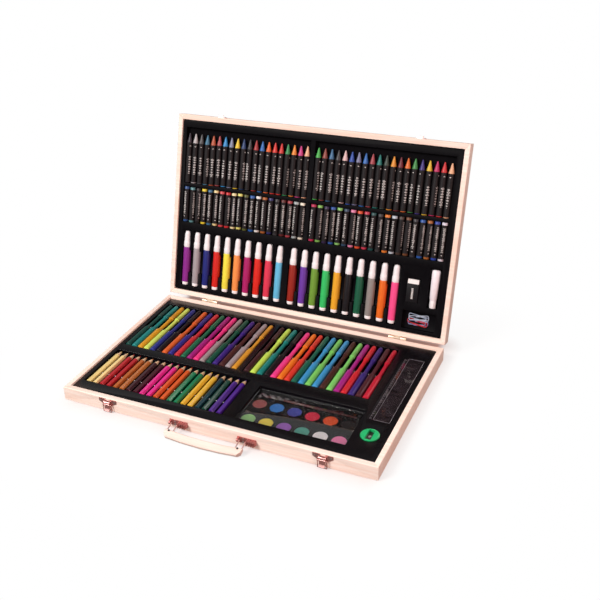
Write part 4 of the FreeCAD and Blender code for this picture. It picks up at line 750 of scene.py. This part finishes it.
def build_pencils():
    places = row(BASE_RIM, PENCIL_ROWS, 28.6, -4.95, slip=0.5)
    piece = lay_out(hexagon_stick("pencils_lacquered"), places, PENCIL_DYES)
    hand_over(piece, "base", "pencil_paint", pencil_paint, "pencil_bodies")
    cone = turned("pencils_cut_wood", 12, [(66.8, 6.6), (68.6, 6.5), (76.6, 2.7), (76.7, 2.2)])
    hand_over(lay_out(cone, places), "base", "pencil_paint", bare_cedar, "pencil_bodies")
    lead = turned("pencils_leads", 12, [(76.0, 2.6), (76.8, 2.55), (79.6, 0.9), (80.2, 0.4)])
    piece = lay_out(lead, places, PENCIL_DYES)
    hand_over(piece, "base", "pigment", core, "pencil_leads")


# Crayons, pastels and markers in the lid

CRAYON_DYES = (
    "#2f2633", "#b9b4b6", "#4b4a4d", "#3f7391", "#b35638", "#a8494f", "#2f8bc9", "#7f86a3", "#ecc835",
    "#26406f", "#37363a", "#a43033", "#2d6bb5", "#e2662e", "#d33a34", "#cf3432", "#2f8a52", "#e88a35",
    "#c83f86", "#edb592",
    "#45ab4e", "#8c463e", "#3c6c95", "#3c3a3e", "#dcb9b8", "#2b4ea5", "#75779a", "#2f69b5", "#a1414b",
    "#1f7a74", "#33423c", "#dd9030", "#6d2230", "#df6f2c", "#3b8a47", "#3a2f7c", "#ddb838", "#b92a62",
    "#c92f33", "#e8b08a")

PASTEL_DYES = (
    "#2d4f86", "#5f8f95", "#1c181b", "#e6cf3a", "#3a6a8f", "#e8d49a", "#cf4a50", "#c52b32", "#ead9a5",
    "#e3dc7a", "#565b2b", "#2a5ba6", "#e9e6e4", "#a85f2c", "#2c2c66", "#37363a", "#5d2424", "#a33c46",
    "#a9b3b5", "#ece4d2",
    "#b92a55", "#7fb85b", "#2f2245", "#2c54a0", "#86bf6a", "#2c4560", "#dd7fa5", "#d8512c", "#c63a55",
    "#1d4e50", "#37363a", "#dd7a2c", "#b9c3cf", "#43332d", "#6b4128", "#35343a", "#2a58a5", "#a3612c",
    "#2a45a3", "#d9d3e2")

MARKER_DYES = (
    "#8a2a8c", "#a49b9f", "#232a78", "#d3261f", "#f2e24a", "#f4934d", "#ab1f66", "#d9291f", "#de3a55",
    "#63b9e0",
    "#96281c", "#6a3aa3", "#6f9a38", "#35bf66", "#e8a62a", "#1a171b", "#1a5a41", "#8f8784", "#e56a1f",
    "#f6508f")


def print_runs():
    """A different grey for each sleeve, which its print reads as the run it came from."""
    return ["#" + "%02x" % hand.randrange(40, 240) * 3 for sleeve in range(40)]


def build_crayons():
    places = row(LID_RIM, CRAYON_ROWS, 172.6, -4.83, (-25, 75))
    stick = turned("crayons_wax", 18, [
        (0, 7.2), (0.5, 7.8), (59.3, 7.8), (60.2, 7.5), (71.8, 2.0), (72.6, 1.2)])
    piece = lay_out(stick, places, CRAYON_DYES)
    hand_over(piece, "lid", "wax", wax, "crayon_sticks")
    sleeve = tube("crayons_sleeves", 18, 8.1, 7.6, 1.2, 57.8)
    piece = lay_out(sleeve, places, print_runs())
    hand_over(piece, "lid", "sleeve_paper", crayon_paper)


def build_pastels():
    places = row(LID_RIM, CRAYON_ROWS, 113.4, -4.83, (-25, 75))
    stick = turned("pastels_sticks", 18, [(0, 7.2), (0.5, 7.8), (52.0, 7.8), (52.5, 7.2)])
    piece = lay_out(stick, places, PASTEL_DYES)
    hand_over(piece, "lid", "pigment", wax, "pastel_sticks")
    sleeve = tube("pastels_sleeves", 18, 8.1, 7.6, 3.0, 46.0)
    piece = lay_out(sleeve, places, print_runs())
    hand_over(piece, "lid", "sleeve_paper", pastel_paper)


def build_markers():
    places = row(LID_RIM, MARKER_ROWS, 15.2, -6.7, slip=0.2)
    plug = turned("markers_plugs", 24, [(0, 9.0), (0.4, 10.0), (1.0, 10.4), (4.6, 10.6), (5.0, 10.2)])
    hand_over(lay_out(plug, places), "lid", "cap_plastic", cap_white, "marker_plugs")
    barrel = turned("markers_barrels", 24, [
        (4.8, 10.8), (5.2, 11.2), (5.8, 11.4), (57.6, 11.4), (58.6, 11.0), (59.0, 10.4)])
    piece = lay_out(barrel, places, MARKER_DYES)
    hand_over(piece, "lid", "pen_plastic", pen_stuff, "marker_barrels")
    cap = turned("markers_caps", 24, [
        (58.9, 10.2), (59.2, 10.9), (59.8, 11.2), (66.5, 11.2), (67.4, 10.5), (68.4, 10.2), (79.0, 9.4),
        (81.4, 8.6), (83.0, 6.8), (83.7, 4.6), (83.9, 2.0)])
    hand_over(lay_out(cap, places), "lid", "cap_plastic", cap_white, "marker_caps")


# Palette, brush, ruler and sharpener

CAKE_DYES = ("#93c97d", "#f6de4a", "#a562cc", "#4da594", "#fcf8fa", "#ff8cc0",
             "#b0605f", "#3d8be0", "#4e57b8", "#ea3c57", "#f96335", "#1b181b")


def build_palette():
    hand_over(eased("palette_box", 0.35), "base", "palette_plastic", palette_black, "palette_box")
    cake = turned("palette_cakes", 32, [(0, 18.0), (0.3, 18.9), (2.4, 18.9), (2.9, 18.2), (2.75, 15.0),
                                        (2.6, 6.0)])
    set_down(cake, UPRIGHT)
    places = [BASE_RIM @ at(FIRST_CAKE + CAKE_PITCH * index, y, -13.0)
              for y in (39.9, 73.3) for index in range(6)]
    piece = lay_out(cake, places, CAKE_DYES)
    hand_over(piece, "base", "pigment", core, "paint_cakes")
    hand_over(eased("palette_cover", 0.5, 3), "base", "clear_plastic", clear, "palette_cover")


def build_brush():
    for node, slot, material in (("brush_hair", "brush_bristle", brush_lacquer),
                                 ("brush_ferrule", "bright_steel", dark_steel),
                                 ("brush_handle", "brush_wood", brush_lacquer)):
        hand_over(eased(node, 0.3, 2, 40), "base", slot, material, node)


def build_ruler():
    piece = eased("ruler", 0.15)
    # Flat faces, so that the clear plate does not mirror the lid in waves
    bpy.ops.object.shade_smooth_by_angle(angle=math.radians(8))
    hand_over(piece, "base", "clear_plastic", scuffed_clear, "ruler")
    # Painted highlight: thin pale strips on the moulded rim stand for the light it catches; the scale
    # is a plain tick every 5 mm
    rims = [bar("ruler_rim", size, (x, y, z)) for size, x, y, z in (
        ((0.5, 146.9, 0.25), 0.35, 73.75, 0.83), ((0.5, 146.9, 0.25), 26.7, 73.75, 2.1),
        ((0.4, 146.9, 0.2), 6.0, 73.75, 2.13), ((20.4, 0.5, 0.25), 16.6, 0.35, 2.1),
        ((20.4, 0.5, 0.25), 16.6, 147.15, 2.1))]
    ticks = [bar("ruler_rim", (2.6, 0.6, 0.2), (1.9, 3.5 + 5 * index, 1.38), 0.05)
             for index in range(29)]
    clear_hands()
    for piece in rims + ticks:
        piece.select_set(True)
    bpy.context.view_layer.objects.active = rims[0]
    bpy.ops.object.join()
    set_down(rims[0], BASE_RIM @ at(392.18, 86.5, -5.3))
    hand_over(rims[0], "base", "clear_plastic", painted_rim_light_and_ticks)


def on_a_grip(place, normal):
    """Whether a face is on every other one of the strips round the sharpener's side."""
    strip = round(math.degrees(math.atan2(place.z, place.x)) / 7.5 - 0.5)
    return abs(normal.y) < 0.2 and math.hypot(place.x, place.z) > 11.3 * MM and strip % 2 == 0


def build_sharpener():
    body = turned("sharpener_disc", 48, [
        (0, 22.3), (0.5, 23.1), (11.4, 23.1), (11.9, 22.6), (12.1, 21.6), (11.8, 20.8), (12.2, 19.6)])
    open_mesh(body)
    choose(body, "FACE", on_a_grip)
    bpy.ops.mesh.extrude_region_shrink_fatten(TRANSFORM_OT_shrink_fatten={"value": 0.18 * MM})
    close_mesh(body, 30)
    set_down(body, UPRIGHT)
    slot = bar("sharpener_slot", (7.8, 19.6, 4.7), (0, 0, 10.05), 0.3)
    take(body)
    tool = body.modifiers.new("slot", "BOOLEAN")
    tool.object = slot
    tool.operation = "DIFFERENCE"
    bpy.ops.object.modifier_apply(modifier=tool.name)
    bpy.data.objects.remove(slot)
    open_mesh(body)
    close_mesh(body, 30)
    set_down(body, BASE_RIM @ at(405.2, 55.7, -13.45))
    hand_over(body, "base", "sharpener_plastic", sharpener_green, "sharpener_body")
    hand_over(eased("sharpener_blade", 0.1), "base", "steel", dark_steel, "sharpener_blade")
    hand_over(eased("sharpener_screw", 0.2), "base", "steel", steel, "sharpener_screw")


# Eraser, glue tube and paper clips

def wire(name, points, thick):
    """Round wire bent through points in millimetres, with soft corners."""
    clear_hands()
    bpy.ops.curve.primitive_nurbs_path_add()
    piece = bpy.context.object
    piece.name = name
    line = piece.data
    line.splines.clear()
    run = line.splines.new("NURBS")
    run.points.add(len(points) - 1)
    for knot, place in zip(run.points, points):
        knot.co = [share * MM for share in place] + [1]
    run.order_u = 3
    run.use_endpoint_u = True
    run.resolution_u = 4
    line.dimensions = "3D"
    line.bevel_depth = thick / 2 * MM
    line.bevel_resolution = 2
    line.use_fill_caps = True
    bpy.ops.object.convert(target="MESH")
    open_mesh(piece)
    return close_mesh(piece, 60)


def build_clips():
    """Four lacquered wire clips, lying across each other in their recess."""
    # The wire's run from its outer end round to its inner end, in millimetres
    outline = ((8, 0, 0), (24, 0, 0), (28, 0, 0), (28, 6.6, 0), (24, 6.6, 0), (4, 6.6, 0), (0, 6.6, 0),
               (0, 1.2, 0.1), (4, 1.2, 0.6), (21, 1.2, 0.6), (24.6, 1.2, 0.4), (24.6, 5.2, 0.2),
               (21, 5.2, 0.1), (10, 5.2, 0.1))
    laid = ((378.5, 17.0, -8.9, 5, "#8e95c8"), (377.0, 20.5, -8.1, -7, "#c9303c"),
            (379.5, 23.5, -7.4, 9, "#b7c1d6"), (378.0, 27.5, -8.3, -6, "#a9b6cf"))
    places = [LID_RIM @ at(x, y, z) @ Matrix.Rotation(math.radians(turn), 4, "Z")
              for x, y, z, turn, code in laid]
    piece = lay_out(wire("paper_clips_bent", outline, 1.0), places, [spot[4] for spot in laid])
    hand_over(piece, "lid", "clip_wire", lacquered_wire, "paper_clips")


def build_lid_things():
    hand_over(eased("eraser", 0.3, 3), "lid", "eraser_rubber", eraser_white, "eraser")
    hand_over(eased("eraser_sleeve", 0.25), "lid", "sleeve_paper", eraser_card, "eraser_sleeve")
    # A plain row of printed dashes runs down the middle of the card
    dash = bar("eraser_dashes", (2.6, 1.0, 0.1), (0, 0, 0), 0.03)
    places = [LID_RIM @ at(380.9, 56.5 + 1.7 * index, -0.98) for index in range(9)]
    hand_over(lay_out(dash, places), "lid", "sleeve_paper", eraser_white)
    body = turned("glue_tube_body", 28, [
        (10.6, 7.6), (11.0, 9.0), (13.4, 10.4), (30.0, 11.4), (47.0, 11.5), (51.2, 11.0), (52.6, 9.8),
        (53.2, 7.6)])
    open_mesh(body)
    # The far end is pressed flat and spreads a little
    for start, flat, spread in ((29, 0.94, 1.02), (46, 0.75, 1.05), (51, 0.6, 1.02)):
        choose(body, "VERT", lambda place, normal: place.y > start * MM)
        bpy.ops.transform.resize(value=(spread, 1, flat), center_override=(0, 0, 0))
    close_mesh(body, 50)
    set_down(body, LID_RIM @ at(409.84, 46.7, -6.8))
    hand_over(body, "lid", "tube_plastic", tube_white, "glue_tube")
    hand_over(eased("glue_tube_cap", 0.5, 3), "lid", "cap_plastic", cap_white, "glue_tube_cap")
    build_clips()


# Hinges, latches and the carrying handle

def build_fittings():
    for node, body, slot, material, width in (
            ("hinge_leaves_base", "base", "hinge_brass", hinge_metal, 0.15),
            ("hinge_leaves_lid", "lid", "hinge_brass", hinge_metal, 0.15),
            ("hinge_pins", "base", "steel", steel, 0.1),
            ("hinge_screws_base", "base", "steel", steel, 0.2),
            ("hinge_screws_lid", "lid", "steel", steel, 0.2),
            ("latch_plates", "base", "fitting_metal", latch_metal, 0.15),
            ("latch_pins", "base", "steel", steel, 0.1),
            ("latch_lever_left", "latch_left_lever", "fitting_metal", latch_metal, 0.2),
            ("latch_lever_right", "latch_right_lever", "fitting_metal", latch_metal, 0.2),
            ("latch_loop_left", "latch_left_loop", "fitting_metal", latch_metal, 0.15),
            ("latch_loop_right", "latch_right_loop", "fitting_metal", latch_metal, 0.15),
            ("latch_strikes", "lid", "fitting_metal", wire_metal, 0.15),
            ("strike_nails", "lid", "steel", steel, 0.15),
            ("front_nails", "base", "steel", steel, 0.2),
            ("handle_brackets", "base", "fitting_metal", bracket_metal, 0.2),
            ("handle_bails", "handle", "fitting_metal", wire_metal, 0.15),
            ("handle_bar_screws", "handle", "steel", dark_steel, 0.2)):
        hand_over(eased(node, width, 2, 25), body, slot, material, node)
    hand_over(eased("handle_bar", 1.0, 4, 25), "handle", "case_wood", handle_beech, "handle_bar")


set_up_camera()
set_up_studio()
build_case()
build_trays()
build_pens()
build_pencils()
build_crayons()
build_pastels()
build_markers()
build_palette()
build_brush()
build_ruler()
build_sharpener()
build_lid_things()
build_fittings()
